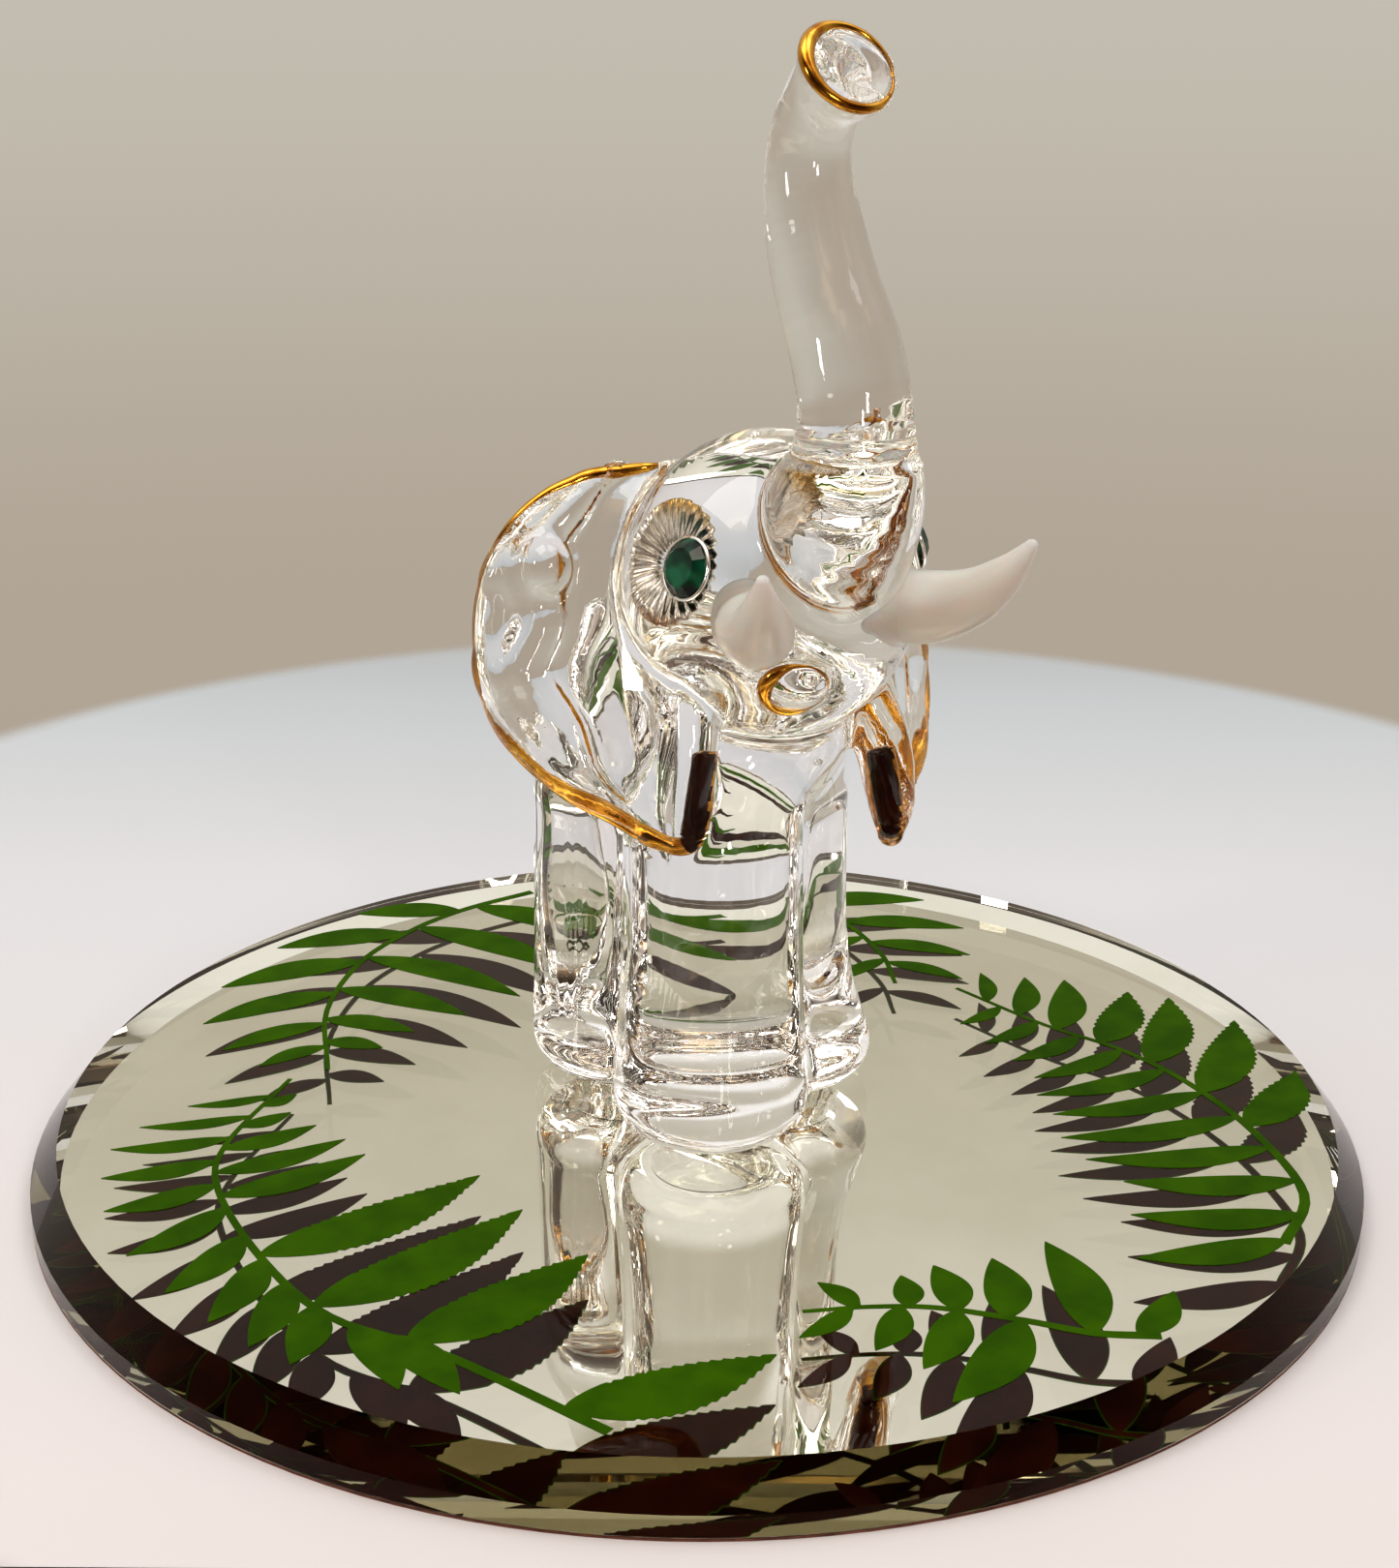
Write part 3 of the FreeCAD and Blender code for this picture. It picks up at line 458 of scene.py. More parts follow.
def surface_net(field, low, high, step):
    """Quads where the field is zero: one vertex in each cell that the surface crosses."""
    axes = [np.arange(a, b + step, step) for a, b in zip(low, high)]
    grid = np.stack(np.meshgrid(*axes, indexing="ij"), axis=-1)
    value = slabs(field, grid.reshape(-1, 3)).reshape(grid.shape[:3])
    inside = value < 0
    corners = [(i, j, k) for i in (0, 1) for j in (0, 1) for k in (0, 1)]
    n = [s - 1 for s in value.shape]

    def part(a, c):
        return a[c[0]:c[0] + n[0], c[1]:c[1] + n[1], c[2]:c[2] + n[2]]

    count = sum(part(inside, c).astype(int) for c in corners)
    active = (count > 0) & (count < 8)
    index = np.full(active.shape, -1)
    index[active] = np.arange(active.sum())
    total = np.zeros((active.sum(), 3))
    hits = np.zeros(active.sum())
    for a in corners:
        for axis in range(3):
            if a[axis]:
                continue
            b = tuple(v + (k == axis) for k, v in enumerate(a))
            va, vb = part(value, a)[active], part(value, b)[active]
            cross = (va < 0) != (vb < 0)
            t = np.where(cross, va / np.where(cross, va - vb, 1), 0)
            place = np.array(a, float) + t[:, None] * np.eye(3)[axis]
            total += np.where(cross[:, None], place, 0)
            hits += cross
    cells = np.argwhere(active)
    verts = (cells + total / hits[:, None]) * step + np.array(low)
    faces = []
    for axis in range(3):
        u, v = [k for k in range(3) if k != axis]
        first = [slice(1, -1)] * 3
        first[axis] = slice(0, -1)
        second = list(first)
        second[axis] = slice(1, None)
        a, b = inside[tuple(first)], inside[tuple(second)]
        edges = np.argwhere(a != b)
        flip = a[tuple(edges.T)]
        start = edges + 1
        start[:, axis] -= 1
        ring = []
        for du, dv in ((0, 0), (-1, 0), (-1, -1), (0, -1)):
            cell = start.copy()
            cell[:, u] += du
            cell[:, v] += dv
            ring.append(index[tuple(cell.T)])
        quad = np.stack(ring, axis=1)
        odd = flip if axis == 1 else ~flip
        quad[odd] = quad[odd][:, ::-1]
        faces.append(quad)
    return verts, np.vstack(faces)


def slope(field, p, h=0.02):
    """The field's gradient."""
    steps = np.eye(3) * h
    return np.stack([field(p + step) - field(p - step) for step in steps], axis=1) / (2 * h)


def settle(field, verts, rounds=3):
    """Moves vertices onto the surface along its slope."""
    for _ in range(rounds):
        g = slope(field, verts)
        move = (field(verts) / np.maximum((g * g).sum(1), 0.2))[:, None] * g
        verts = verts - np.clip(move, -0.2, 0.2)
    return verts


def glass_elephant():
    """The fused clear glass, which stands for the CAD's twelve clear glass pieces."""
    low, high = (-14.6, -17.0, -0.6), (14.6, 18.4, 61.0)
    verts, faces = surface_net(skin, low, high, SKIN_STEP)
    verts = settle(skin, verts)
    verts[:, 2] = np.maximum(verts[:, 2], 0.004)
    return add_mesh("glass_elephant", to_scene(verts), faces, GLASS, "clear_glass",
                    ("torso", "head", "trunk_root", "trunk", "right_ear", "left_ear", "lower_lip", "tail",
                     "front_right_leg", "front_left_leg", "rear_right_leg", "rear_left_leg"))


# ---------------------------------------------------------------- tubes, rings and lathe work
def tube_mesh(points, radii, sides):
    """Verts and faces of a closed-ended tube through points."""
    points = np.asarray(points, float)
    verts, faces = [], []
    up = np.array([0.0, 0.0, 1.0])
    for k, (point, radius) in enumerate(zip(points, radii)):
        ahead = points[min(k + 1, len(points) - 1)] - points[max(k - 1, 0)]
        ahead = ahead / np.linalg.norm(ahead)
        u = np.cross(up, ahead)
        if np.linalg.norm(u) < 1e-3:
            u = np.cross((1.0, 0.0, 0.0), ahead)
        u = u / np.linalg.norm(u)
        v = np.cross(ahead, u)
        for s in range(sides):
            turn = 2 * math.pi * s / sides
            verts.append(point + radius * (math.cos(turn) * u + math.sin(turn) * v))
    for k in range(len(points) - 1):
        for s in range(sides):
            a, b = k * sides + s, k * sides + (s + 1) % sides
            faces.append((a, b, b + sides, a + sides))
    faces.append(tuple(range(sides))[::-1])
    faces.append(tuple(range((len(points) - 1) * sides, len(points) * sides)))
    return verts, faces


def round_ends(radii, ends=3):
    """Radii that close in a rounded way at both ends."""
    radii = np.array(radii, float)
    for k in range(ends):
        factor = math.sqrt(1 - (1 - (k + 0.35) / ends) ** 2)
        radii[k] *= factor
        radii[-1 - k] *= factor
    return radii


def ear_edge(side, outer):
    """Points along an ear's outer or inner edge, from its lobe's tip up."""
    columns = (3, 4) if outer else (1, 2)
    points = []
    for row in EAR_ROWS:
        z = row[0] - ear_drop(side, row[0])
        inner = np.array([side * row[1], row[2]])
        outside = np.array([side * row[3], row[4]])
        away = outside - inner
        away = away / max(np.linalg.norm(away), 1e-6) * (1 if outer else -1)
        edge = np.array([side * row[columns[0]], row[columns[1]]]) + away * row[5] * GOLD_SEAT
        points.append((edge[0], edge[1], z))
    return np.array(points)


def ear_gold(name, side):
    """One stroke of gold: down the rim, round the lobe's tip and up the lobe's free inner edge."""
    rim = ear_edge(side, True)[::-1]
    lobe = ear_edge(side, False)
    lobe = lobe[lobe[:, 2] < lobe[0, 2] + FREE_EDGE]
    top = rim[0] + (np.array(GOLD_TOP) * (side, 1, 1) - rim[0]) * 0.9
    corner = (rim[-1] + lobe[0]) / 2 + (0, 0, 0.25)
    stroke = np.vstack([top, rim[:-2], corner, lobe[2:]])
    stroke = smooth_rows(stroke[::2] if len(stroke) % 2 else np.vstack([stroke[:-1:2], stroke[-1]]), 4)
    spans = np.linalg.norm(np.diff(stroke, axis=0), axis=1)
    share = np.concatenate([[0], np.cumsum(spans)]) / spans.sum()
    radii = round_ends(np.interp(share, *np.array(EAR_GOLD).T), 3)
    verts, faces = tube_mesh(stroke, radii, 16)
    piece = add_mesh(name, to_scene(verts), faces, GOLD, "gold_trim", (name,))
    piece.data.materials.append(GOLD_PAINTED_DARK)
    start = int(np.searchsorted(share, LOBE_START)) * 16
    # painted reflection: the lobe's faces turned towards the dark room get the near-black gold
    for face in piece.data.polygons:
        if min(face.vertices) >= start and face.normal.dot(DARK_REFLECTION_SIDE) > 0.3:
            face.material_index = 1
    return piece


def frame_of(direction):
    """Two axes across a direction, which mustn't be exactly vertical."""
    u = np.cross((0.0, 0.0, 1.0), direction)
    u = u / np.linalg.norm(u)
    return u, np.cross(direction, u)


def ring_mesh(centre, direction, radius, line, turns=72, sides=12, wobble=0.0, heavy=2.2):
    """A ring of wire that is laid round an edge; the wobble makes it hand painted."""
    u, v = frame_of(direction)
    verts, faces = [], []
    for k in range(turns):
        turn = 2 * math.pi * k / turns
        out = math.cos(turn) * u + math.sin(turn) * v
        stroke = 1 + wobble * math.sin(turn + heavy) + 0.25 * wobble * math.sin(3 * turn)
        thick = line * max(stroke, 0.2)
        for s in range(sides):
            roll = 2 * math.pi * s / sides
            across = radius + thick * math.cos(roll)
            verts.append(centre + out * across + direction * thick * math.sin(roll))
    for k in range(turns):
        for s in range(sides):
            a, b = k * sides + s, k * sides + (s + 1) % sides
            c, d = ((k + 1) % turns) * sides + (s + 1) % sides, ((k + 1) % turns) * sides + s
            faces.append((a, b, c, d))
    return verts, faces


def lathe(profile, centre, direction, turns, ripple=None, closed=False):
    """Turns (radius, height) rows about a direction; ripple(turn, k) moves a point along it, and a
    closed profile joins its last row to its first."""
    u, v = frame_of(direction)
    verts, faces = [], []
    for k, (radius, height) in enumerate(profile):
        for s in range(turns):
            turn = 2 * math.pi * s / turns
            lift = ripple(turn, k) if ripple else 0.0
            verts.append(centre + radius * (math.cos(turn) * u + math.sin(turn) * v)
                         + (height + lift) * direction)
    for k in range(len(profile) if closed else len(profile) - 1):
        for s in range(turns):
            a, b = k * turns + s, k * turns + (s + 1) % turns
            faces.append((a, b, (b + turns) % len(verts), (a + turns) % len(verts)))
    return verts, faces


# ---------------------------------------------------------------- eyes and tusks
def eye_direction(side, turn=0.0, rise=0.0):
    """The way an eye looks from the head's centre, in degrees further out and further up."""
    azimuth, elevation = math.radians(EYE_AZIMUTH + turn), math.radians(EYE_ELEVATION + rise)
    flat = math.cos(elevation)
    return np.array([side * math.sin(azimuth) * flat, -math.cos(azimuth) * flat, math.sin(elevation)])


def eye_stone(name, side):
    """A round cut: flat table, twelve crown facets, girdle, pointed pavilion."""
    ahead = eye_direction(side, EYE_TURN)
    seat = np.array(HEAD[0]) + eye_direction(side) * EYE_SEAT
    rows = [(0.05, -1.15), (1.46, -0.15), (1.52, -0.08), (1.52, 0.15), (1.02, 0.58)]
    verts, faces = lathe(rows, seat, ahead, 12)
    faces.append(tuple(range(12))[::-1])
    faces.append(tuple(range(4 * 12, 5 * 12)))
    return add_mesh(name, to_scene(verts), faces, STONE, "eye_crystal", (name,), smooth=False)


def eye_foil(name, side):
    """A pleated foil cup in the glass behind the stone, and the stone's thin silver setting."""
    pleats = 30
    rows = [  # radius, distance from the head's centre
        (0.9, 6.30), (1.5, 6.45), (2.0, 6.66), (2.5, 6.88), (3.2, 7.08), (3.25, 7.00), (2.5, 6.78),
        (2.0, 6.56), (1.5, 6.35), (0.85, 6.20),
    ]

    def ripple(turn, k):
        pleat = math.sin(pleats * turn + 2.0 * math.sin(3 * turn))
        return 0.14 * pleat + 0.06 * math.sin(7 * turn + k)

    centre = np.array(HEAD[0])
    verts, faces = lathe(rows, centre, eye_direction(side, FOIL_TURN, 1), pleats * 8, ripple, closed=True)
    seat = centre + eye_direction(side) * EYE_SEAT
    ring_verts, ring_faces = ring_mesh(seat, eye_direction(side, EYE_TURN), radius=1.58, line=0.11,
                                       turns=60, sides=8)
    faces = faces + [tuple(i + len(verts) for i in f) for f in ring_faces]
    return add_mesh(name, to_scene(verts + ring_verts), faces, FOIL, "eye_foil", (name,))


def tusk(name, side):
    """A curved tusk with a rounded tip."""
    rows = smooth_rows(with_x(TUSK, side), 8)
    tip = rows[-1].copy()
    ahead = rows[-1, :3] - rows[-2, :3]
    ahead = ahead / np.linalg.norm(ahead)
    cap = []
    for k in range(1, 6):
        bend = math.pi / 2 * k / 5
        cap.append(np.append(tip[:3] + ahead * tip[3] * math.sin(bend), max(tip[3] * math.cos(bend), 0.01)))
    rows = np.vstack([rows, cap])
    verts, faces = tube_mesh(rows[:, :3], rows[:, 3], 64)
    return add_mesh(name, to_scene(verts), faces, OPAL, "opal_glass", (name,))


# ---------------------------------------------------------------- gold on trunk tip, mouth and tail
def trunk_tip_gold():
    """The painted ring round the trunk's end, heavier on one side."""
    centre = TIP - TIP_DIRECTION * 0.12
    verts, faces = ring_mesh(centre, TIP_DIRECTION, radius=2.30, line=0.25, turns=96, sides=14,
                             wobble=0.55, heavy=4.9)
    return add_mesh("trunk_tip_gold", to_scene(verts), faces, GOLD, "gold_trim", ("trunk_tip_gold",))


def mouth_gold():
    """A loop of gold drawn round the lower lip where it meets the head."""
    centre = np.array(HEAD[0])
    away = np.array(LIP[0]) - centre
    away = away / np.linalg.norm(away)
    verts, faces = ring_mesh(centre + away * MOUTH_SEAT, away, radius=1.55, line=0.25, wobble=0.9, heavy=4.3)
    return add_mesh("mouth_gold", to_scene(verts), faces, GOLD, "gold_trim", ("mouth_gold",))


def tail_tip_gold():
    """A drop of gold on the end of the tail."""
    base = TAIL_ROWS[-1, :3] + (0, 0, 0.4)
    rows = [(0.05, 1.5), (0.45, 1.35), (0.72, 1.0), (0.86, 0.4), (0.84, -0.3), (0.66, -0.9), (0.38, -1.25),
            (0.05, -1.4)]
    verts, faces = lathe(rows, base - np.array((0, 0, 1.0)), np.array((0.0, 0.001, 1.0)), 24)
    faces.append(tuple(range(24))[::-1])
    faces.append(tuple(range(7 * 24, 8 * 24)))
    return add_mesh("tail_tip_gold", to_scene(verts), faces, GOLD, "gold_trim", ("tail_tip_gold",))


# ---------------------------------------------------------------- fern prints
PRINT_LOW, PRINT_HIGH = MIRROR_TOP - 0.015, MIRROR_TOP + 0.03
PRINT_R = 35.9
OUTLINE = 0.09
FERNS = {  # stem points from base to tip; leaflets are (place on the stem, tip x, tip y, widest width)
    "fern_print_front_right": {
        "stem": [(-20.7, -28.1), (-24.6, -18.8), (-28.1, -13.0), (-29.1, -6.3), (-28.7, 1.7),
                 (-26.6, 6.5), (-20.6, 12.5)],
        "leaflets": [
            (0.06, -10.9, -26.5, 4.2), (0.27, -14.5, -14.0, 4.4), (0.40, -15.4, -8.2, 4.2),
            (0.53, -15.8, -3.7, 4.0), (0.68, -20.3, 1.6, 2.4), (0.74, -20.6, 3.8, 2.0),
            (0.80, -21.4, 6.2, 1.8), (0.86, -22.1, 8.4, 1.4), (0.92, -21.0, 10.4, 1.2),
            (0.30, -25.3, -22.1, 2.4), (0.34, -27.6, -20.4, 2.4), (0.40, -31.2, -16.0, 2.4),
            (0.46, -32.4, -13.6, 2.4), (0.52, -33.4, -10.6, 2.4), (0.58, -34.4, -7.0, 2.4),
            (0.65, -35.0, -2.6, 2.2), (0.71, -34.7, 2.4, 2.0), (0.77, -33.8, 6.0, 1.8),
            (0.83, -32.4, 9.0, 1.6), (0.89, -30.2, 10.8, 1.3), (0.95, -27.0, 12.0, 1.1),
        ],
    },
    "fern_print_front": {
        "stem": [(6.1, -34.2), (3.4, -32.4), (1.2, -29.9), (-1.8, -26.9), (-4.6, -25.2), (-7.8, -23.9)],
        "leaflets": [
            (0.18, 6.7, -24.4, 3.0), (0.42, 3.3, -24.4, 2.6), (0.56, 0.3, -23.5, 2.2),
            (0.70, -1.7, -23.5, 1.7), (0.84, -5.7, -22.0, 1.4),
            (0.38, -5.9, -33.8, 3.0), (0.56, -5.5, -30.9, 2.4), (0.72, -6.6, -28.5, 1.9),
            (0.86, -9.2, -25.8, 1.4), (0.06, 9.3, -31.4, 2.0),
        ],
    },
    "fern_print_front_left": {
        "stem": [(17.4, -30.6), (22.0, -27.2), (24.6, -20.5), (25.5, -14.0), (25.0, -8.5),
                 (23.1, -3.2), (21.6, 4.0)],
        "leaflets": [
            (0.93, 24.4, 5.2, 1.3), (0.86, 26.5, 3.2, 1.9), (0.78, 28.5, 1.6, 2.6),
            (0.70, 30.9, -1.9, 3.2), (0.60, 32.6, -3.9, 3.4), (0.48, 33.9, -8.6, 3.6),
            (0.36, 32.6, -15.8, 3.4),
            (0.90, 18.6, -0.6, 1.2), (0.82, 18.3, -3.6, 1.5), (0.74, 18.3, -6.4, 1.7),
            (0.66, 18.0, -8.9, 1.8), (0.57, 16.7, -10.8, 2.0), (0.48, 16.0, -13.2, 2.1),
            (0.39, 14.6, -15.7, 2.2), (0.29, 14.2, -18.4, 2.3), (0.19, 14.4, -21.4, 2.4),
            (0.09, 12.4, -24.4, 2.4), (0.01, 9.8, -28.0, 2.4),
        ],
    },
    "fern_print_rear_right": {
        "stem": [(5.0, 32.5), (-0.6, 31.8), (-5.5, 30.0), (-10.5, 26.6), (-15.2, 20.5), (-18.2, 12.6)],
        "leaflets": [
            (0.88, -14.2, 13.8, 1.8), (0.78, -11.6, 15.0, 2.2), (0.64, -7.8, 15.6, 2.6),
            (0.48, -3.6, 16.6, 2.8), (0.30, 0.8, 19.0, 3.0), (0.14, 5.6, 22.4, 3.0),
            (0.90, -21.6, 15.0, 1.6), (0.80, -22.8, 18.2, 2.0), (0.66, -22.6, 22.4, 2.6),
            (0.50, -19.8, 27.2, 3.0), (0.34, -14.4, 31.6, 3.0), (0.18, -7.4, 34.6, 2.8),
        ],
    },
    "fern_print_rear_left": {
        "stem": [(16.0, 29.6), (19.6, 24.6), (21.4, 18.4), (20.6, 11.4), (18.6, 6.6)],
        "leaflets": [
            (0.86, 22.8, 5.0, 1.6), (0.72, 25.6, 8.0, 2.0), (0.56, 28.0, 12.0, 2.4),
            (0.38, 28.6, 17.6, 2.8), (0.18, 25.0, 24.6, 2.8),
            (0.84, 16.2, 8.8, 1.4), (0.68, 14.6, 12.6, 1.8), (0.50, 13.6, 17.4, 2.2),
            (0.32, 12.0, 22.8, 2.4), (0.14, 9.6, 28.4, 2.4),
        ],
    },
}


def along_stem(stem, place):
    """The point a share of the way along a stem."""
    spans = np.linalg.norm(np.diff(stem, axis=0), axis=1)
    reach = np.concatenate([[0], np.cumsum(spans)])
    at = place * reach[-1]
    return np.array([np.interp(at, reach, stem[:, 0]), np.interp(at, reach, stem[:, 1])])


def leaflet(base, tip, width, stem_ahead):
    """The two edges of a leaf that bends towards the stem's tip, with fine teeth on the big ones."""
    base, tip = np.array(base, float), np.array(tip, float)
    ahead = tip - base
    length = np.linalg.norm(ahead)
    ahead = ahead / length
    across = np.array([-ahead[1], ahead[0]])
    bow = -0.06 * length * np.sign(across @ stem_ahead)
    teeth = max(3, int(length / 0.6))
    shares = np.linspace(0, 1, teeth * 3 + 1)
    half = 0.46 * width * np.sin(np.pi * shares ** 0.82) ** 0.85
    bite = np.array([0.0, 0.55, 1.0])[np.arange(len(shares)) % 3] * (0.16 if width > 3 else 0.0)
    half = half - np.where((shares > 0.25) & (shares < 0.93), bite, 0)
    half = np.maximum(half, np.interp(shares, (0, 0.3, 1), (0.16, 0.2, 0.03)))
    middle = base + np.outer(shares, ahead) * length + np.outer(bow * np.sin(np.pi * shares), across)
    return middle + half[:, None] * across, middle - half[:, None] * across


def stem_edges(points, width):
    """The two edges of a stem that thins towards its tip."""
    ahead = np.gradient(points, axis=0)
    ahead = ahead / np.linalg.norm(ahead, axis=1)[:, None]
    across = np.stack([-ahead[:, 1], ahead[:, 0]], axis=1)
    half = np.linspace(0.5, 0.22, len(points))[:, None] * width
    return points + across * half, points - across * half


def clip_to_print(edge):
    """Keeps an edge inside the printed circle."""
    far = np.linalg.norm(edge, axis=1)
    return edge * np.minimum(1, PRINT_R / far)[:, None]


def film(verts, faces, edges, lift):
    """A thin closed film between two edges; its dark underside stops short of the outline."""
    left, right = (clip_to_print(edge) for edge in edges)
    middle = (left + right) / 2
    reach = np.maximum(np.linalg.norm(left - middle, axis=1), 1e-6)[:, None]
    keep = np.maximum(1 - OUTLINE / reach, 0.3)
    levels = ((keep, PRINT_LOW - lift), (1.0, PRINT_LOW + 0.008 - lift), (1.0, PRINT_HIGH + lift))
    count = len(left)
    start = len(verts)
    for scale, height in levels:
        ring = np.vstack([middle + (left - middle) * scale, (middle + (right - middle) * scale)[::-1]])
        verts.extend((x, y, height) for x, y in ring)
    size = 2 * count
    for level in range(2):
        low = start + level * size
        for k in range(size):
            after = (k + 1) % size
            faces.append((low + k, low + after, low + size + after, low + size + k))
    for level in (0, 2):
        low = start + level * size
        for k in range(count - 1):
            faces.append((low + k, low + k + 1, low + size - 2 - k, low + size - 1 - k))


def fern_print(name, sprig):
    """One sprig of the print: green from above, dark from below with a green outline."""
    stem = smooth_rows(sprig["stem"], 6)
    verts, faces = [], []
    film(verts, faces, stem_edges(stem, 0.62), 0.0)
    for number, (place, x, y, width) in enumerate(sprig["leaflets"]):
        base, further = along_stem(stem, place), along_stem(stem, min(place + 0.05, 1.0))
        edges = leaflet(base, (x, y), width, further - base + (stem[-1] - stem[-2]) * 1e-3)
        film(verts, faces, edges, 0.0012 * (1 + number % 6))
    piece = add_mesh(name, np.array(verts) * MM, faces, FERN, "fern_print", (name,), False)
    piece.data.materials.append(FERN_UNDER)
    for face in piece.data.polygons:
        if face.center.z < (PRINT_LOW + 0.0005) * MM:
            face.material_index = 1


# ---------------------------------------------------------------- silver and glue
def disc_mesh(centre, radius, low, high, turns=96):
    """A flat round disc."""
    x, y = centre
    rows = [(0.01, low), (radius, low), (radius, high), (0.01, high)]
    verts, faces = lathe(rows, np.array((x, y, 0.0)), np.array((0.0, 1e-6, 1.0)), turns)
    faces.append(tuple(range(turns)))
    faces.append(tuple(range(3 * turns, 4 * turns)))
    return verts, faces


def silver_layer():
    """The silvering bites a hair into the glass, so that no two faces lie in one plane."""
    low, high = (v.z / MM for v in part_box("silver_layer"))
    verts, faces = disc_mesh((0, 0), MIRROR_R - 0.04, low + 0.003, high + 0.02, 160)
    return add_mesh("silver_layer", np.array(verts) * MM, faces, SILVER, "silvering",
                    ("silver_layer",), False)


def foot_adhesive():
    """A thin round film of clear glue under each foot."""
    verts, faces = [], []
    for x, y, foot, _, _ in LEGS:
        v, f = disc_mesh((x + ELEPHANT_X, y), 3.4, MIRROR_TOP + 0.01, SEAT - 0.01, 48)
        faces = faces + [tuple(i + len(verts) for i in face) for face in f]
        verts = verts + v
    return add_mesh("foot_adhesive", np.array(verts) * MM, faces, GLUE, "clear_adhesive",
                    ("foot_adhesive",), False)


# ---------------------------------------------------------------- stage, light and camera
TABLE_CENTRE = (18.2, 25.5)
TABLE_R = 82.0
VIEW_TURN = math.radians(30)
CAMERA_PLACE = (-0.06179, -0.10702, 0.06460)
CAMERA_DIP = 19.0
CAMERA_ROLL = 0.35
MIX_FACTOR, MIX_A, MIX_B, MIX_RESULT = 0, 6, 7, 2  # a Mix node's sockets when it mixes colours


def table():
    """A round white table whose far edge melts into the wall; painted shade darkens it towards the far edge.
    """
    m = Nodes("white_table")
    m.set(Roughness=0.6)
    where = m.add("TexCoord")
    length = m.add("VectorMath", operation="LENGTH")
    m.link(where.outputs["Object"], length.inputs[0])
    far = m.add("MapRange")
    far.inputs["From Max"].default_value = TABLE_R * MM
    m.link(length.outputs["Value"], far.inputs["Value"])
    away = m.add("VectorMath", operation="DOT_PRODUCT")
    away.inputs[1].default_value = (math.sin(VIEW_TURN), math.cos(VIEW_TURN), 0.0)
    m.link(where.outputs["Object"], away.inputs[0])
    depth = m.add("MapRange")
    depth.inputs["From Min"].default_value = -TABLE_R * MM
    depth.inputs["From Max"].default_value = TABLE_R * MM
    m.link(away.outputs["Value"], depth.inputs["Value"])
    # painted shade: the white table is painted lighter and pinker at the near side and darker, bluish grey
    # towards the far edge
    painted_shade = m.ramp(depth.outputs["Result"], (0.0, (0.64, 0.61, 0.62)), (0.10, (0.67, 0.64, 0.66)),
                  (0.56, (0.60, 0.62, 0.67)), (0.85, (0.48, 0.53, 0.58)), (0.97, (0.42, 0.455, 0.49)))
    m.link(painted_shade.outputs["Color"], m.shader.inputs["Base Color"])
    fade = m.add("MapRange", interpolation_type="SMOOTHSTEP")
    fade.inputs["From Min"].default_value = 0.945
    fade.inputs["From Max"].default_value = 1.0
    fade.inputs["To Min"].default_value = 1.0
    fade.inputs["To Max"].default_value = 0.0
    m.link(far.outputs["Result"], fade.inputs["Value"])
    m.link(fade.outputs["Result"], m.shader.inputs["Alpha"])
    verts, faces = disc_mesh((0, 0), TABLE_R, -0.6, -0.01, 160)
    piece = add_mesh("table", np.array(verts) * MM, faces, m.material, None, (), False)
    piece.location = (TABLE_CENTRE[0] * MM, TABLE_CENTRE[1] * MM, 0)


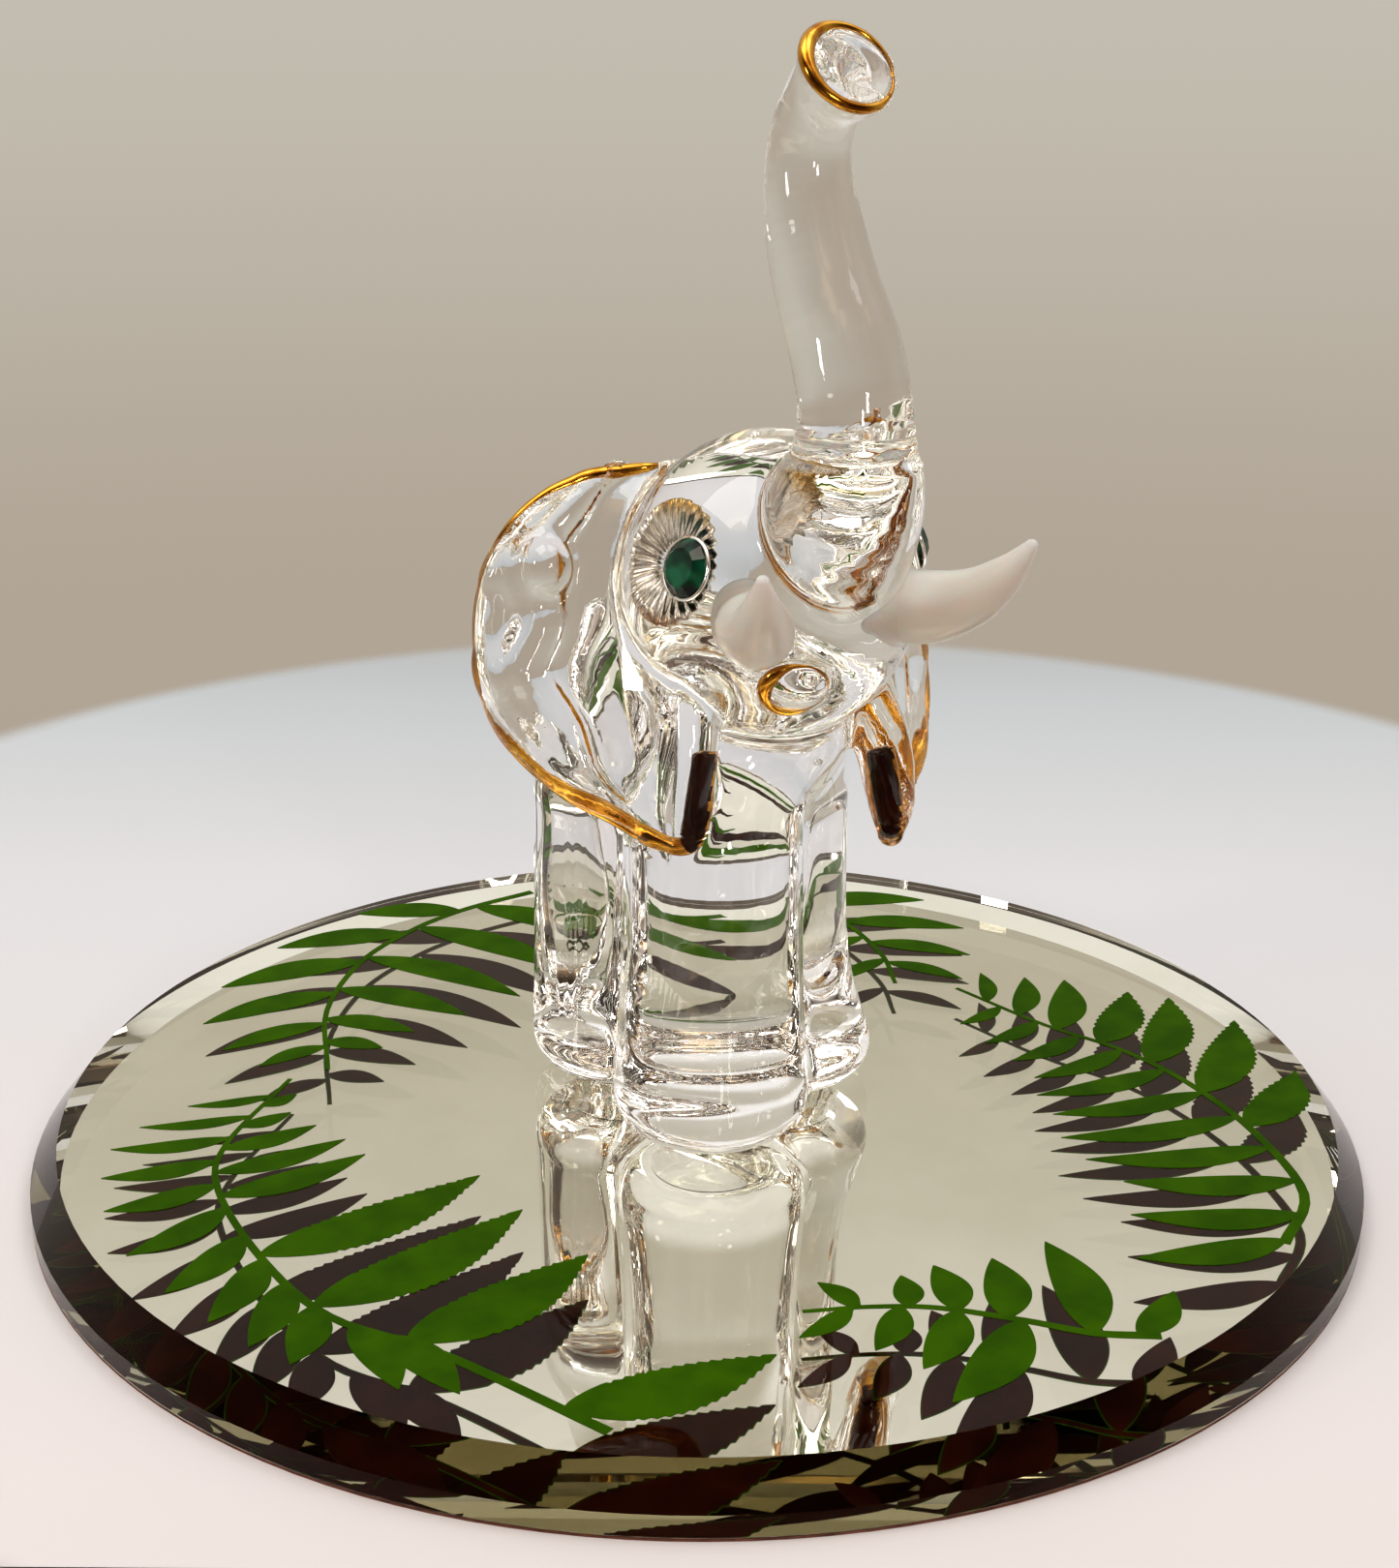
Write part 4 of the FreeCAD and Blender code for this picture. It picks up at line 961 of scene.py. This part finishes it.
def room():
    """A warm grey room: lighter high on the wall, dark behind the camera."""
    world = bpy.data.worlds.new("room")
    bpy.context.scene.world = world
    world.use_nodes = True
    tree = world.node_tree
    back = tree.nodes["Background"]
    where = tree.nodes.new("ShaderNodeTexCoord")
    ahead = tree.nodes.new("ShaderNodeVectorMath")
    ahead.operation = "DOT_PRODUCT"
    ahead.inputs[1].default_value = (math.sin(VIEW_TURN), math.cos(VIEW_TURN), 0.0)
    tree.links.new(where.outputs["Generated"], ahead.inputs[0])
    split = tree.nodes.new("ShaderNodeSeparateXYZ")
    tree.links.new(where.outputs["Generated"], split.inputs[0])

    def ramp(source, low, high, stops):
        span = tree.nodes.new("ShaderNodeMapRange")
        span.inputs["From Min"].default_value = low
        span.inputs["From Max"].default_value = high
        tree.links.new(source, span.inputs["Value"])
        node = tree.nodes.new("ShaderNodeValToRGB")
        node.color_ramp.interpolation = "EASE"
        set_stops(node, stops)
        tree.links.new(span.outputs["Result"], node.inputs["Fac"])
        return node.outputs["Color"]

    wall = ramp(split.outputs["Z"], -0.5, 1.0, [
        (0.0, (0.40, 0.34, 0.28)), (0.16, (0.46, 0.40, 0.33)), (0.34, (0.555, 0.525, 0.455)),
        (0.60, (0.61, 0.565, 0.475)), (0.80, (1.0, 0.97, 0.93))])
    dark = ramp(split.outputs["Z"], -0.5, 1.0, [
        (0.0, (0.26, 0.22, 0.19)), (0.30, (0.16, 0.13, 0.115)), (0.42, (0.06, 0.045, 0.04)),
        (0.72, (0.10, 0.08, 0.07)), (0.88, (1.0, 0.97, 0.93))])
    things = tree.nodes.new("ShaderNodeTexNoise")
    things.inputs["Scale"].default_value = 3.2
    things.inputs["Detail"].default_value = 1.0
    tree.links.new(where.outputs["Generated"], things.inputs["Vector"])
    warm = ramp(things.outputs["Fac"], 0, 1, [
        (0.44, (0.55, 0.46, 0.42)), (0.56, (1.0, 0.88, 0.70)), (0.68, (2.4, 1.9, 1.3))])
    patchy = tree.nodes.new("ShaderNodeMix")
    patchy.data_type = "RGBA"
    patchy.blend_type = "MULTIPLY"
    patchy.inputs[MIX_FACTOR].default_value = 1.0
    tree.links.new(dark, patchy.inputs[MIX_A])
    tree.links.new(warm, patchy.inputs[MIX_B])
    dark = patchy.outputs[MIX_RESULT]
    facing = ramp(ahead.outputs["Value"], -1, 1, [(0.28, (0, 0, 0)), (0.62, (1, 1, 1))])
    mix = tree.nodes.new("ShaderNodeMix")
    mix.data_type = "RGBA"
    tree.links.new(facing, mix.inputs[MIX_FACTOR])
    tree.links.new(dark, mix.inputs[MIX_A])
    tree.links.new(wall, mix.inputs[MIX_B])
    tree.links.new(mix.outputs[MIX_RESULT], back.inputs["Color"])
    back.inputs["Strength"].default_value = 1.0


def area_light(name, place, target, size, watts, colour):
    """A soft rectangular lamp that faces a target."""
    data = bpy.data.lights.new(name, "AREA")
    data.shape = "RECTANGLE"
    data.size, data.size_y = size
    data.energy = watts
    data.color = colour
    lamp = bpy.data.objects.new(name, data)
    bpy.context.scene.collection.objects.link(lamp)
    lamp.location = place
    lamp.rotation_euler = (Vector(target) - Vector(place)).to_track_quat("-Z", "Y").to_euler()


STRIPS = [  # degrees left of the camera, degrees up, size in metres, watts
    (62, 14, (0.05, 0.09), 0.40), (-22, 15, (0.04, 0.09), 0.35), (-12, 9, (0.03, 0.06), 0.20),
]


def studio_light():
    """Two soft overhead lamps, and small strips that make the highlights in the glass."""
    middle = (0, 0, 0.03)
    area_light("key", (-0.28, 0.05, 0.65), middle, (0.4, 0.4), 1.6, (1.0, 0.97, 0.93))
    area_light("fill", (0.20, -0.12, 0.70), middle, (0.4, 0.4), 1.2, (0.98, 0.98, 1.0))
    for turn, rise, size, watts in STRIPS:
        away = math.radians(turn) + VIEW_TURN
        place = (-0.5 * math.sin(away), -0.5 * math.cos(away), 0.05 + 0.5 * math.tan(math.radians(rise)))
        area_light("strip", place, (0, 0, 0.05), size, watts, (1.0, 0.96, 0.90))


def camera():
    """The view from the figurine's front right, a little above it."""
    data = bpy.data.cameras.new("camera")
    data.sensor_width = 36.0
    data.lens = 53.3
    eye = bpy.data.objects.new("camera", data)
    bpy.context.scene.collection.objects.link(eye)
    turn = Matrix.Rotation(-VIEW_TURN, 4, "Z") @ Matrix.Rotation(math.radians(90 - CAMERA_DIP), 4, "X")
    roll = Matrix.Rotation(math.radians(CAMERA_ROLL), 4, "Z")
    eye.matrix_world = Matrix.Translation(CAMERA_PLACE) @ turn @ roll
    bpy.context.scene.camera = eye


def look():
    """Long light paths for glass inside glass, and plain colour."""
    scene = bpy.context.scene
    scene.view_settings.view_transform = "Standard"
    scene.view_settings.look = "Medium High Contrast"
    scene.view_settings.exposure = -0.22
    scene.cycles.max_bounces = 32
    scene.cycles.transmission_bounces = 28
    scene.cycles.glossy_bounces = 24
    scene.cycles.transparent_max_bounces = 12
    scene.cycles.sample_clamp_indirect = 6.0
    scene.cycles.blur_glossy = 0.3


# ---------------------------------------------------------------- build
glass_elephant()
for side, word in ((-1, "right"), (1, "left")):
    ear_gold(word + "_ear_gold", side)
    eye_stone(word + "_eye_stone", side)
    eye_foil(word + "_eye_foil", side)
    tusk(word + "_tusk", side)
trunk_tip_gold()
mouth_gold()
tail_tip_gold()
for fern_name, fern_sprig in FERNS.items():
    fern_print(fern_name, fern_sprig)
silver_layer()
foot_adhesive()
for node_name, node_material in (("mirror_glass", PLATE), ("backing_paint", BACKING)):
    node_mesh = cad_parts[node_name].data
    node_mesh.materials.clear()
    node_mesh.materials.append(node_material)

table()
room()
studio_light()
camera()
look()
